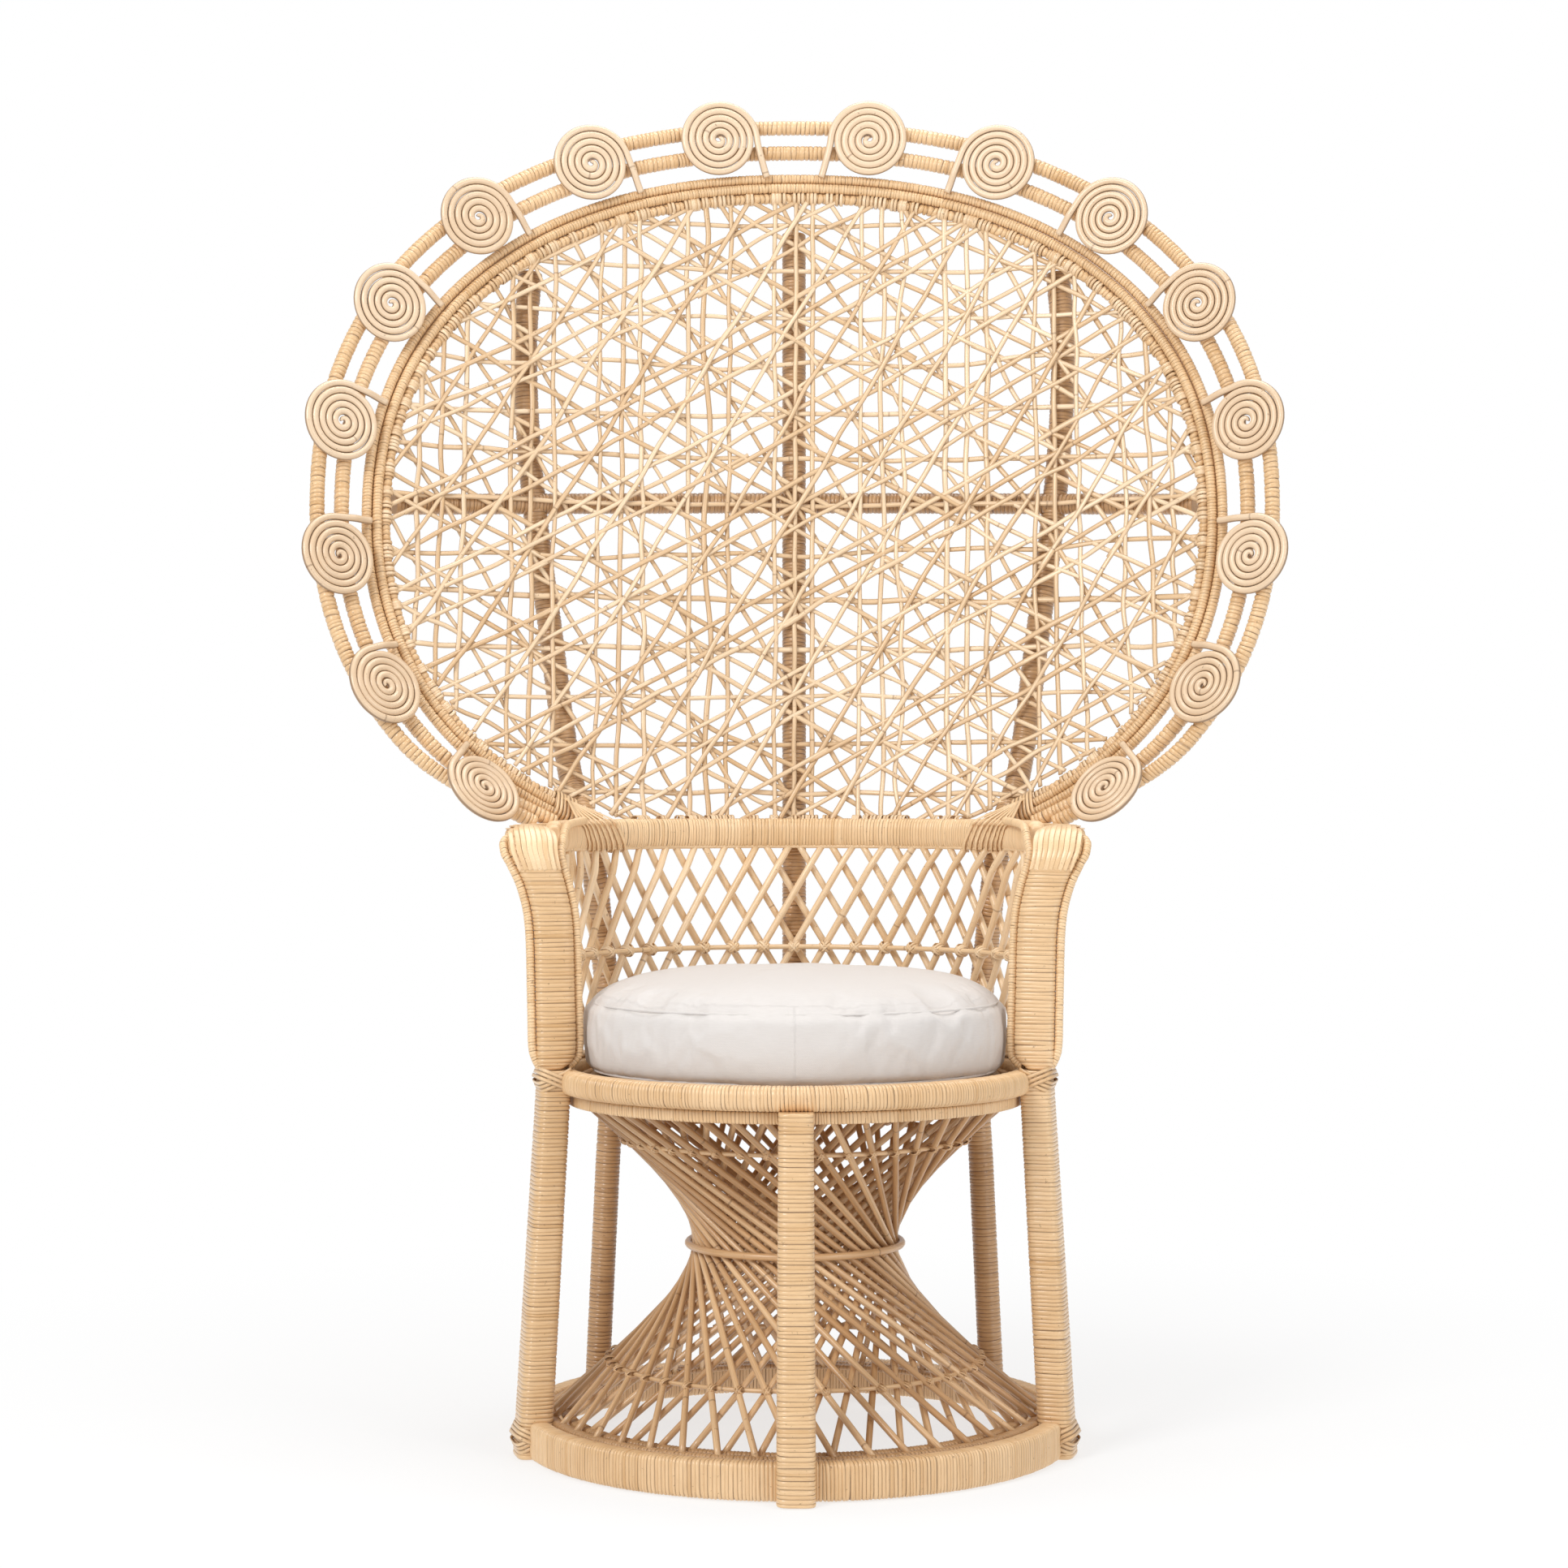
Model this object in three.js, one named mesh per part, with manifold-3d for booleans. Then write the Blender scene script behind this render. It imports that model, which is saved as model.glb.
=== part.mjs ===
// A rattan peacock chair: an hourglass base of straight rods, a round seat with a lattice low back,
// two wrapped arm fronts and a tall open-woven fan back edged with spiral coil discs.
// Millimetres, +Z up, the front of the chair toward -Y, the viewer's right toward +X.
import * as THREE from "three";
import { mergeVertices } from "three/addons/utils/BufferGeometryUtils.js";
import Module from "manifold-3d";

const wasm = await Module();
wasm.setup();

// Fit between pieces that touch, and how far a cutting tool runs past what it cuts
const clearance = 0.3;
const overrun = 5;
const weldDistance = 0.002;
const slabCornerShare = 0.25;

// Base hoop, the wrapped ring on the floor
const baseHoopRadius = 298;
const baseHoopWall = 24;
const baseHoopHeight = 40;
const baseHoopRound = 5;

// Seat hoop, its deck of laid strips and the cushion
const seatHoopRadius = 264;
const seatHoopSection = 27;
const seatHoopFlatShare = 0.62;
const seatTopHeight = 411;
const seatDeckDrop = 10;
const seatStripWidth = 30;
const seatStripGap = 2.2;
const seatStripThickness = 12;
const seatFrameWidth = 14;
const cushionEdgeRoom = 35;
const cushionSideHeight = 72;
const cushionCrown = 42;
const cushionSideDraw = 7;
const cushionHeightShares = [0, 0.2, 0.5, 1];
const cushionDrawShares = [2, 0.33, 0, 1];
const cushionCrownShares = [0.82, 0.5];
const cushionCrownPower = 3;

// Hourglass base: two crossing families of straight rods, each held by its own pair of rings
const baseRodCount = 42;
const rodsPerGroup = 7;
const baseRodDiameter = 6.8;
const baseRodTwist = 129 * (Math.PI / 180);
const innerRodTwist = 130 * (Math.PI / 180);
const rodRingWall = 14;
const rodRingHeight = 7;
const rodSeatDepth = 0.8;
const rodLayerGap = 18;
const headRingInset = 11;
const waistRingDiameter = 8;
const tieRodDiameter = 5;
const lowerTieShare = 0.154;
const upperTieShare = 0.867;

// Legs: one at the front centre and one at each side, toward the front
const frontLegWidth = 38;
const frontLegDepth = 34;
const frontLegFootRadius = 305;
const frontLegStandOut = 14;
const sideLegWidth = 46;
const sideLegDepth = 36;
const sideLegFootRadius = 290;
const sideLegStandOut = 15.5;
const sideLegAngle = 105 * (Math.PI / 180);
const legFootShare = 1.06;
const legTopShare = 0.96;

// Low back: two layers of slanting rods between the seat hoop and the wrapped band
const bandStandOut = 11.5;
const bandWall = 22;
const bandHeight = 35;
const bandTopHeight = 675;
const bandEndAngle = 93.5 * (Math.PI / 180);
const latticeRodDiameter = 7.2;
const latticeRodPitch = 8.4 * (Math.PI / 180);
const latticeRodTwist = 31 * (Math.PI / 180);
const latticeStandOut = 9.5;
const latticeStripHeight = 5;
const latticeStripWall = 8.2;
const leastRodShare = 0.2;
const latticeRodsPerGroup = 9;
const latticeTieDiameter = 6;

// Arm fronts: wrapped slabs that rise from the seat hoop and turn back along the band
const armWidth = 43;
const armThickness = 25;
const armStandOut = 14;
const armFlare = 24;
const armTopDrop = 7;
const armBend = 26;
const armRestWidth = 40;
const armEndAngle = 61 * (Math.PI / 180);
const armRimDiameter = 9.2;
const armRimGap = 1.2;

// Fan: its outline in front view, and how far its face stands back and wraps forward
const fanHalfWidth = 475;
const fanHalfHeight = 398;
const fanCentreRise = 355;
const fanFullness = 2.2;
const fanFootStandBack = 8;
const fanRake = 6 * (Math.PI / 180);
const fanFootCurve = 330;
const fanTopCurve = 900;
const fanCurveRise = 220;
const fanWrapShare = 0.99;
const rimHoopDiameter = 11;
const rimBindingDiameter = 12;
const rimHoopStep = 12;
const rimMiddleLiftShare = 0.25;
const outerHoopDiameter = 17.5;
const nearHoopOffset = 44;
const nearHoopFootOffset = 29;
const farHoopOffset = 75;
const farHoopFootOffset = 47;

// Coil discs along the fan's edge
const discsPerSide = 8;
const discTurns = 5.25;
const discCoreWidth = 6.3;
const discPitch = 7.7;
const discEyeRadius = 3.6;
const discOffset = 59.5;
const discSearchParts = 8;

// Fan weave: upright, level and slanting strands that cross in eight-rayed stars
const starColumnPitch = 102;
const starRowPitch = 56.6;
const starRowRise = 14;
const strandWidth = 5;
const strandThickness = 2.4;
const netBorderWidth = 4;
const leastNetEdge = 3;
const straightTurn = 0.05;
const netSagShare = 0.45;

// Posts that run from the floor up behind the fan, and the brace across them
const postDiameter = 29;
const postFootRadius = 303;
const braceDiameter = 25;
const braceRise = 21;
const braceEndDrop = 13;
const braceEndRoom = 24;

// Places along the side posts, bottom to top, as shares: of the band's top height below the fan,
// with the spread as a share of the band radius
const postLowHeightShares = [0, 0.2, 0.4, 0.594, 0.79, 0.965];
const postLowSpreadShares = [0.87, 0.845, 0.82, 0.798, 0.84, 0.893];
// and above it as shares of the fan's height, with the spread as a share of its half width
const postFanHeightShares = [0.065, 0.166, 0.279, 0.46, 0.621, 0.753, 0.858];
const postFanSpreadShares = [0.519, 0.552, 0.579, 0.62, 0.645, 0.652, 0.642];
const centrePostTopShare = 0.934;

// Stations of an arm front: shares of its straight rise, of its flare there and of its width,
// and then shares of its run back outside the band
const armRiseShares = [0, 0.04, 0.35, 0.7, 0.88, 1];
const armFlareShares = [0, 0, 0.04, 0.14, 0.45, 0.85];
const armWidthShares = [0.8, 1, 1, 1, 1, 1];
const armRestShares = [0, 0.12, 0.34, 0.56, 0.78, 1];

// Places of the discs as shares of the outer hoops' run, from the top to their feet: the first one,
// and the step to the next
const discFirstShare = 0.0696;
const discStepShare = 0.1232;

// Share of each outer hoop's run from the top at which it starts to gather toward the rim
const gatherStartShare = 0.86;

// Fineness of the facets
const hoopFacets = 36;
const fanHoopSteps = 30;
const roundSides = 5;
const tieSides = 3;
const rodSides = 3;
const discStepsPerTurn = 7;
const braceSteps = 14;
const braceBends = 8;
const cushionSideSteps = 4;
const latticeTieSteps = 20;
const bandSteps = 16;
const armBendSteps = 4;
const armRimSteps = 12;
const sidePostSteps = 17;
const centrePostSteps = 11;
const outlineSteps = 160;
const searchSteps = 40;
const runSteps = 640;
const slopeShare = 0.002;

const cane = new THREE.Color(0xd9ae78);
const paleCane = new THREE.Color(0xe6c8a4);
const rodCane = new THREE.Color(0xd8b183);
const shadedCane = new THREE.Color(0xb98b5b);
const linen = new THREE.Color(0xefe9e2);

const seatHoopMiddle = seatHoopRadius - seatHoopSection / 2;
const cushionRadius = seatHoopRadius - cushionEdgeRoom;
const topRodRingRadius = seatHoopMiddle - headRingInset;
const frontLegTopRadius = seatHoopMiddle + frontLegStandOut;
const sideLegTopRadius = seatHoopMiddle + sideLegStandOut;
const bandRadius = seatHoopMiddle + bandStandOut;
const latticeOuterRadius = seatHoopMiddle + latticeStandOut;
const armRadius = seatHoopMiddle + armStandOut;
const fanFootDepth = bandRadius + fanFootStandBack;
const seatBottomHeight = seatTopHeight - seatHoopSection;
const deckTopHeight = seatTopHeight - seatDeckDrop;
const baseHoopInside = baseHoopRadius - baseHoopWall;
const postRadius = postDiameter / 2;
const armTopHeight = bandTopHeight - armTopDrop;
const fanCentreHeight = bandTopHeight + fanCentreRise;
const fanTopHeight = fanCentreHeight + fanHalfHeight;

const chair = new THREE.Group();
chair.name = "peacock_chair";

// Helpers that make, join and cut closed solids

// Turns a closed surface so that its faces point out
function faceOutward(geometry) {
  const spot = geometry.attributes.position;
  const index = geometry.index.array;
  const [a, b, c] = [new THREE.Vector3(), new THREE.Vector3(), new THREE.Vector3()];
  let volume = 0;
  for (let i = 0; i < index.length; i += 3) {
    a.fromBufferAttribute(spot, index[i]);
    b.fromBufferAttribute(spot, index[i + 1]);
    c.fromBufferAttribute(spot, index[i + 2]);
    volume += a.dot(b.cross(c));
  }
  if (volume < 0) {
    for (let i = 0; i < index.length; i += 3) {
      [index[i + 1], index[i + 2]] = [index[i + 2], index[i + 1]];
    }
  }
  return geometry;
}

function weld(geometry) {
  const bare = geometry.index ? geometry.toNonIndexed() : geometry.clone();
  bare.deleteAttribute("normal");
  bare.deleteAttribute("uv");
  return faceOutward(mergeVertices(bare, weldDistance));
}

function solidOf(geometry) {
  const welded = weld(geometry);
  return new wasm.Manifold(
    new wasm.Mesh({
      numProp: 3,
      vertProperties: welded.attributes.position.array,
      triVerts: new Uint32Array(welded.index.array),
    }),
  );
}

function geometryOf(solid) {
  const mesh = solid.getMesh();
  return new THREE.BufferGeometry()
    .setAttribute("position", new THREE.BufferAttribute(mesh.vertProperties, 3))
    .setIndex(new THREE.BufferAttribute(mesh.triVerts, 1));
}

function join(geometries) {
  return geometries.map(solidOf).reduce((whole, piece) => whole.add(piece));
}

function cut(geometry, tools) {
  return geometryOf(tools.reduce((rest, tool) => rest.subtract(solidOf(tool)), solidOf(geometry)));
}

function addPiece(name, geometry, color, roughness = 0.6) {
  geometry.computeVertexNormals();
  const material = new THREE.MeshStandardMaterial({ color, roughness, metalness: 0 });
  const mesh = new THREE.Mesh(geometry, material);
  mesh.name = name;
  chair.add(mesh);
}

// A point on a level circle about the chair's middle; the angle is taken from the back, to the right
function polar(radius, angle, height) {
  return new THREE.Vector3(radius * Math.sin(angle), radius * Math.cos(angle), height);
}

// A closed surface through rings of points that have the same count, with flat ends
function loft(rings) {
  const count = rings[0].length;
  const points = rings.flat().flatMap((p) => [p.x, p.y, p.z]);
  const index = [];
  for (let r = 0; r + 1 < rings.length; r++) {
    for (let i = 0; i < count; i++) {
      const next = (i + 1) % count;
      const [a, b] = [r * count + i, r * count + next];
      index.push(a, b, b + count, a, b + count, a + count);
    }
  }
  const last = (rings.length - 1) * count;
  for (let i = 1; i + 1 < count; i++) {
    index.push(0, i + 1, i, last, last + i, last + i + 1);
  }
  const geometry = new THREE.BufferGeometry();
  geometry.setAttribute("position", new THREE.Float32BufferAttribute(points, 3));
  geometry.setIndex(index);
  return geometry;
}

// A rounded-rectangle section with cut corners, set across a path by two directions
function slabRing(centre, across, through, width, depth) {
  const corner = Math.min(width, depth) * slabCornerShare;
  const [w, d] = [width / 2, depth / 2];
  const outline = [
    [w, d - corner],
    [w - corner, d],
    [corner - w, d],
    [-w, d - corner],
    [-w, corner - d],
    [corner - w, -d],
    [w - corner, -d],
    [w, corner - d],
  ];
  return outline.map(([u, v]) => centre.clone().addScaledVector(across, u).addScaledVector(through, v));
}

function roundTube(path, radius, steps, sides) {
  const section = new THREE.Shape();
  for (let i = 0; i < sides; i++) {
    const turn = (i / sides) * 2 * Math.PI;
    const spot = [radius * Math.cos(turn), radius * Math.sin(turn)];
    if (i) section.lineTo(...spot);
    else section.moveTo(...spot);
  }
  return new THREE.ExtrudeGeometry(section, { steps, bevelEnabled: false, extrudePath: path });
}

// A ring turned about the chair's middle from a closed profile of [radius, height] corners
function turnedRing(profile, facets = hoopFacets) {
  const closed = [...profile, profile[0]].map(([r, z]) => new THREE.Vector2(r, z));
  return new THREE.LatheGeometry(closed, facets).rotateX(Math.PI / 2);
}

function boxProfile(inside, outside, bottom, top) {
  return [
    [inside, bottom],
    [outside, bottom],
    [outside, top],
    [inside, top],
  ];
}

function roundProfile(middle, height, radius, sides) {
  return Array.from({ length: sides }, (_, i) => {
    const turn = ((i + 0.5) / sides) * 2 * Math.PI;
    return [middle + radius * Math.cos(turn), height + radius * Math.sin(turn)];
  });
}

// How far the middle of a facet falls short of a circle
function facetSag(radius, facets = hoopFacets) {
  return radius * (1 - Math.cos(Math.PI / facets));
}

// The hoops

function baseHoop(grow = 0) {
  const inside = baseHoopInside - grow;
  const outside = baseHoopRadius + grow;
  const top = baseHoopHeight + grow;
  return turnedRing([
    [inside, -grow],
    [outside - baseHoopRound, -grow],
    [outside, baseHoopRound],
    [outside, top - baseHoopRound],
    [outside - baseHoopRound, top],
    [inside, top],
  ]);
}

function seatHoop(grow = 0) {
  const half = seatHoopSection / 2 + grow;
  const flat = half * seatHoopFlatShare;
  const middle = seatTopHeight - seatHoopSection / 2;
  return turnedRing([
    [seatHoopMiddle - flat, middle - half],
    [seatHoopMiddle + flat, middle - half],
    [seatHoopMiddle + half, middle],
    [seatHoopMiddle + flat, middle + half],
    [seatHoopMiddle - flat, middle + half],
    [seatHoopMiddle - half, middle],
  ]);
}

// The hourglass

// The rods run from the top face of the foot rings to the bottom face of the head rings
const rodFootHeight = baseHoopHeight;
const rodTopHeight = seatBottomHeight - clearance - rodRingHeight;
const footRingOutside = baseHoopInside - facetSag(baseHoopInside) - clearance;
const outerRodFoot = footRingOutside - rodRingWall / 2;

// One family of rods as [foot radius, top radius, twist]
const outerRods = [outerRodFoot, topRodRingRadius, baseRodTwist];
const innerRods = [outerRodFoot - rodLayerGap, topRodRingRadius - rodLayerGap, -innerRodTwist];

// A rod through a few points, mitred where it bends, with one edge turned outward;
// its ends are cut square to it, or level where it stands in a ring
function bentRod(points, diameter, level = false) {
  const ways = points.slice(1).map((spot, i) => spot.clone().sub(points[i]).normalize());
  const last = ways.length - 1;
  const middle = points[0].clone().lerp(points[last + 1], 0.5).setZ(0).normalize();
  const across = new THREE.Vector3().crossVectors(ways[0], middle).normalize();
  const through = new THREE.Vector3().crossVectors(across, ways[0]);
  const up = new THREE.Vector3(0, 0, 1);
  const faces = points.map((_, i) => {
    if (i > 0 && i <= last) return ways[i - 1].clone().add(ways[i]);
    return level ? up : ways[Math.min(i, last)];
  });
  let corners = Array.from({ length: rodSides }, (_, side) => {
    const turn = (side / rodSides) * 2 * Math.PI;
    const [u, v] = [Math.sin(turn), Math.cos(turn)];
    return points[0].clone().addScaledVector(across, (u * diameter) / 2).addScaledVector(through, (v * diameter) / 2);
  });
  const rings = points.map((spot, i) => {
    const [way, face] = [ways[Math.max(i - 1, 0)], faces[i]];
    corners = corners.map((corner) => {
      const left = spot.clone().sub(corner).dot(face) / way.dot(face);
      return corner.clone().addScaledVector(way, left);
    });
    return corners;
  });
  return loft(rings);
}

// Neighbouring rods of a family, set into a length of foot ring and one of head ring that have one
// facet for each rod
function rodGroup([foot, top, twist], first, count) {
  const facet = (2 * Math.PI) / baseRodCount;
  const lengthOf = (radius, bottom, turn) => {
    const angles = Array.from({ length: count + 1 }, (_, i) => (first + i - 0.5) * facet + turn);
    angles[0] += clearance / 2 / radius;
    angles[count] -= clearance / 2 / radius;
    return arcRing(radius, rodRingWall, bottom, bottom + rodRingHeight, angles);
  };
  const pieces = [lengthOf(foot, rodFootHeight - rodRingHeight, 0), lengthOf(top, rodTopHeight, twist)];
  for (let i = first; i < first + count; i++) {
    const low = polar(foot, i * facet, rodFootHeight);
    const high = polar(top, i * facet + twist, rodTopHeight);
    pieces.push(bentRod(setIn([low, high], rodSeatDepth), baseRodDiameter, true));
  }
  return geometryOf(join(pieces));
}

// Lengthens a rod's line at both ends until it reaches a depth past its end heights
function setIn(points, depth) {
  const ends = [points[0], points[points.length - 1]];
  const inner = [points[1], points[points.length - 2]];
  const [low, high] = ends.map((end, i) => {
    const way = end.clone().sub(inner[i]);
    return end.clone().addScaledVector(way, depth / Math.abs(way.z));
  });
  return [low, ...points.slice(1, -1), high];
}

// Where an outer rod is at a share of its height: its bearing, and how far in and out its edges reach
function rodReach(share) {
  const [foot, top, twist] = outerRods;
  const [low, high] = [polar(foot, 0, rodFootHeight), polar(top, twist, rodTopHeight)];
  const corners = bentRod([low, high], baseRodDiameter, true).attributes.position;
  const middle = low.clone().lerp(high, share).setZ(0);
  const radial = middle.clone().normalize();
  const reaches = Array.from({ length: rodSides }, (_, i) => {
    return new THREE.Vector3().fromBufferAttribute(corners, i).sub(low).dot(radial);
  });
  const bearing = Math.atan2(middle.x, middle.y);
  return {
    bearing,
    inside: middle.length() + Math.min(...reaches),
    outside: middle.length() + Math.max(...reaches),
  };
}

// A ring tied to the outer rods at a share of their height: outside them (side 1) or inside them (-1),
// with one facet across each rod and one edge of its section toward the rods
function tieRing(share, diameter, side) {
  const height = rodFootHeight + (rodTopHeight - rodFootHeight) * share;
  const { bearing, inside, outside } = rodReach(share);
  const facet = (2 * Math.PI) / baseRodCount;
  const reach = (side * diameter) / 2;
  const edge = side < 0 ? inside - clearance : outside + clearance;
  const middle = edge / Math.cos(facet / 2) + reach;
  const ring = turnedRing(roundProfile(middle, height, reach, tieSides), baseRodCount);
  return ring.rotateZ(facet / 2 - bearing);
}

// The seat deck: split canes laid side by side in a round frame that fits inside the seat hoop

function seatDeck() {
  const radius = seatHoopRadius - seatHoopSection - clearance;
  const deck = new THREE.Shape().absarc(0, 0, radius, 0, 2 * Math.PI);
  const pitch = seatStripWidth + seatStripGap;
  const open = radius - seatFrameWidth;
  const perSide = Math.floor(open / pitch - 0.5);
  for (let i = -perSide; i <= perSide; i++) {
    const [left, right] = [i * pitch - seatStripGap / 2, i * pitch + seatStripGap / 2];
    const reach = Math.sqrt(open ** 2 - Math.max(left ** 2, right ** 2));
    const corners = [[left, -reach], [right, -reach], [right, reach], [left, reach]];
    deck.holes.push(new THREE.Path(corners.map(([x, y]) => new THREE.Vector2(x, y))));
  }
  const depth = seatStripThickness;
  const plate = { depth, bevelEnabled: false, curveSegments: hoopFacets / 2 };
  return new THREE.ExtrudeGeometry(deck, plate).translate(0, 0, deckTopHeight - depth);
}

// The round boxed cushion: sides that bulge between drawn-in seams, and a crowned top
function cushion() {
  const bottom = deckTopHeight + clearance;
  const seam = bottom + cushionSideHeight;
  const waist = cushionRadius - cushionSideDraw;
  const spots = cushionHeightShares.map((share, i) => {
    const draw = cushionSideDraw * cushionDrawShares[i];
    return new THREE.Vector2(cushionRadius - draw, bottom + cushionSideHeight * share);
  });
  const side = new THREE.SplineCurve(spots).getPoints(cushionSideSteps);
  const crown = cushionCrownShares.map((share) => {
    const rise = cushionCrown * (1 - share ** cushionCrownPower);
    return new THREE.Vector2(waist * share, seam + rise);
  });
  const middle = [new THREE.Vector2(0, seam + cushionCrown)];
  const profile = [new THREE.Vector2(0, bottom), ...side, ...crown, ...middle];
  return new THREE.LatheGeometry(profile, hoopFacets).rotateX(Math.PI / 2);
}

// Legs

function leg(angle, footRadius, topRadius, width, depth, top) {
  const across = new THREE.Vector3(Math.cos(angle), -Math.sin(angle), 0);
  const through = new THREE.Vector3(Math.sin(angle), Math.cos(angle), 0);
  const ringAt = (spot, share) => slabRing(spot, across, through, width * share, depth * share);
  const foot = ringAt(polar(footRadius, angle, 0), legFootShare);
  return loft([foot, ringAt(polar(topRadius, angle, top), legTopShare)]);
}

// The fan's face: it leans back with height and wraps forward at its sides, tightly at its foot

function fanCurve(height) {
  const rise = (height - bandTopHeight) / fanCurveRise;
  return fanFootCurve + (fanTopCurve - fanFootCurve) * (1 - Math.exp(-rise));
}

function fanPoint(x, z) {
  const curve = fanCurve(z);
  const reach = Math.min(Math.abs(x), curve * fanWrapShare);
  const middle = fanFootDepth + (z - bandTopHeight) * Math.tan(fanRake);
  return new THREE.Vector3(x, middle - curve + Math.sqrt(curve ** 2 - reach ** 2), z);
}

function fanNormal(x, z) {
  const step = fanHalfWidth * slopeShare;
  const along = fanPoint(x + step, z).sub(fanPoint(x - step, z));
  const up = fanPoint(x, z + step).sub(fanPoint(x, z - step));
  return along.cross(up).normalize();
}

function onFan(x, z, lift) {
  return fanPoint(x, z).addScaledVector(fanNormal(x, z), lift);
}

// A point of the rim's middle line; the turn runs from the top, to the right
function rimOutline(turn) {
  const power = 2 / fanFullness;
  const [s, c] = [Math.sin(turn), Math.cos(turn)];
  const x = fanHalfWidth * Math.sign(s) * Math.abs(s) ** power;
  const z = fanCentreHeight + fanHalfHeight * Math.sign(c) * Math.abs(c) ** power;
  return new THREE.Vector2(x, z);
}

// The rim's directions at a turn: along it, outward in the fan's face, and out of the face
function rimFrame(turn) {
  const step = Math.PI * slopeShare;
  const [before, here, after] = [turn - step, turn, turn + step].map(rimOutline);
  const normal = fanNormal(here.x, here.y);
  const along = fanPoint(after.x, after.y).sub(fanPoint(before.x, before.y)).normalize();
  const outward = new THREE.Vector3().crossVectors(along, normal).normalize();
  if (outward.x * here.x + outward.z * (here.y - fanCentreHeight) < 0) outward.negate();
  return { here: fanPoint(here.x, here.y), along, outward, normal };
}

function rimSpot(turn, offset, lift) {
  const { here, outward, normal } = rimFrame(turn);
  return here.addScaledVector(outward, offset).addScaledVector(normal, lift);
}

// The corners of a hoop's round section, one of them toward the front
function hoopSection(turn, spot, radius) {
  const { outward, normal } = rimFrame(turn);
  return Array.from({ length: roundSides }, (_, side) => {
    const angle = (side / roundSides) * 2 * Math.PI;
    const corner = spot.clone().addScaledVector(outward, radius * Math.sin(angle));
    return corner.addScaledVector(normal, radius * Math.cos(angle));
  });
}

// The turn at which a hoop beside the rim comes down to a height above the floor
function endTurnOf(offset, height, radius = 0) {
  let [low, high] = [Math.PI / 2, Math.PI];
  for (let i = 0; i < searchSteps; i++) {
    const middle = (low + high) / 2;
    const corners = hoopSection(middle, rimSpot(middle, offset, 0), radius);
    if (Math.min(...corners.map((corner) => corner.z)) > height) low = middle;
    else high = middle;
  }
  return low;
}

// Middle points of a hoop that runs beside the rim; toward its feet its offset may gather inward
function hoopLine(offset, lift, diameter, footOffset, footHeight) {
  const endTurn = endTurnOf(footOffset, footHeight + clearance, diameter / 2);
  return Array.from({ length: fanHoopSteps + 1 }, (_, i) => {
    const turn = ((2 * i) / fanHoopSteps - 1) * endTurn;
    const gather = THREE.MathUtils.smoothstep(Math.abs(turn) / endTurn, gatherStartShare, 1);
    return { turn, spot: rimSpot(turn, offset + (footOffset - offset) * gather, lift) };
  });
}

function hoopTube(line, radius) {
  return loft(line.map(({ turn, spot }) => hoopSection(turn, spot, radius)));
}

// The three hoops of the rim stand on the band, the two outside it on the arm tops
const rimMiddleLift = rimHoopDiameter * rimMiddleLiftShare;
const rimOuterLine = hoopLine(rimHoopStep, 0, rimHoopDiameter, rimHoopStep, bandTopHeight);
const rimMiddleLine = hoopLine(0, rimMiddleLift, rimHoopDiameter, 0, bandTopHeight);
const rimBindingLine = hoopLine(-rimHoopStep, 0, rimBindingDiameter, -rimHoopStep, bandTopHeight);
const nearHoopLine = hoopLine(nearHoopOffset, 0, outerHoopDiameter, nearHoopFootOffset, armTopHeight);
const farHoopLine = hoopLine(farHoopOffset, 0, outerHoopDiameter, farHoopFootOffset, armTopHeight);

// Coil discs

// The middle line of one disc in its own plane: out from the eye, then a tail that runs over the
// near hoop and ends on the rim
function discLine(tailEnd) {
  const steps = Math.floor(discTurns * discStepsPerTurn);
  const points = [];
  for (let i = 0; i <= steps; i++) {
    const angle = Math.PI / 2 + ((i - steps) / discStepsPerTurn) * 2 * Math.PI;
    const radius = discEyeRadius + (discPitch * i) / discStepsPerTurn;
    points.push(new THREE.Vector3(radius * Math.cos(angle), radius * Math.sin(angle), 0));
  }
  const past = nearHoopOffset - outerHoopDiameter / 2 - discCoreWidth / 2 - discOffset;
  const bend = points[steps].clone().lerp(tailEnd, past / tailEnd.x).setZ(0);
  return [...points, bend, tailEnd];
}

function coilDisc(tailEnd) {
  const line = discLine(tailEnd);
  const out = new THREE.Vector3(0, 0, 1);
  const half = discCoreWidth / 2;
  const section = [[half, -half], [0, half], [-half, -half]];
  const rings = line.map((spot, i) => {
    const ahead = line[Math.min(i + 1, line.length - 1)];
    const behind = line[Math.max(i - 1, 0)];
    const across = new THREE.Vector3().crossVectors(ahead.clone().sub(behind), out).normalize();
    return section.map(([u, v]) => spot.clone().addScaledVector(across, u).addScaledVector(out, v));
  });
  return loft(rings);
}

// Turns at which the discs sit: equal steps along the line through their middles
function discTurnsAlong() {
  const end = nearHoopLine[fanHoopSteps].turn;
  const turns = Array.from({ length: runSteps + 1 }, (_, i) => (i / runSteps) * end);
  const spots = turns.map((turn) => rimSpot(turn, discOffset, 0));
  const travelled = [0];
  for (let i = 1; i <= runSteps; i++) travelled.push(travelled[i - 1] + spots[i].distanceTo(spots[i - 1]));
  return Array.from({ length: discsPerSide }, (_, i) => {
    const wanted = travelled[runSteps] * (discFirstShare + i * discStepShare);
    return turns[travelled.findIndex((run) => run >= wanted)];
  });
}

const discRadius = discEyeRadius + discPitch * discTurns;

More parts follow.
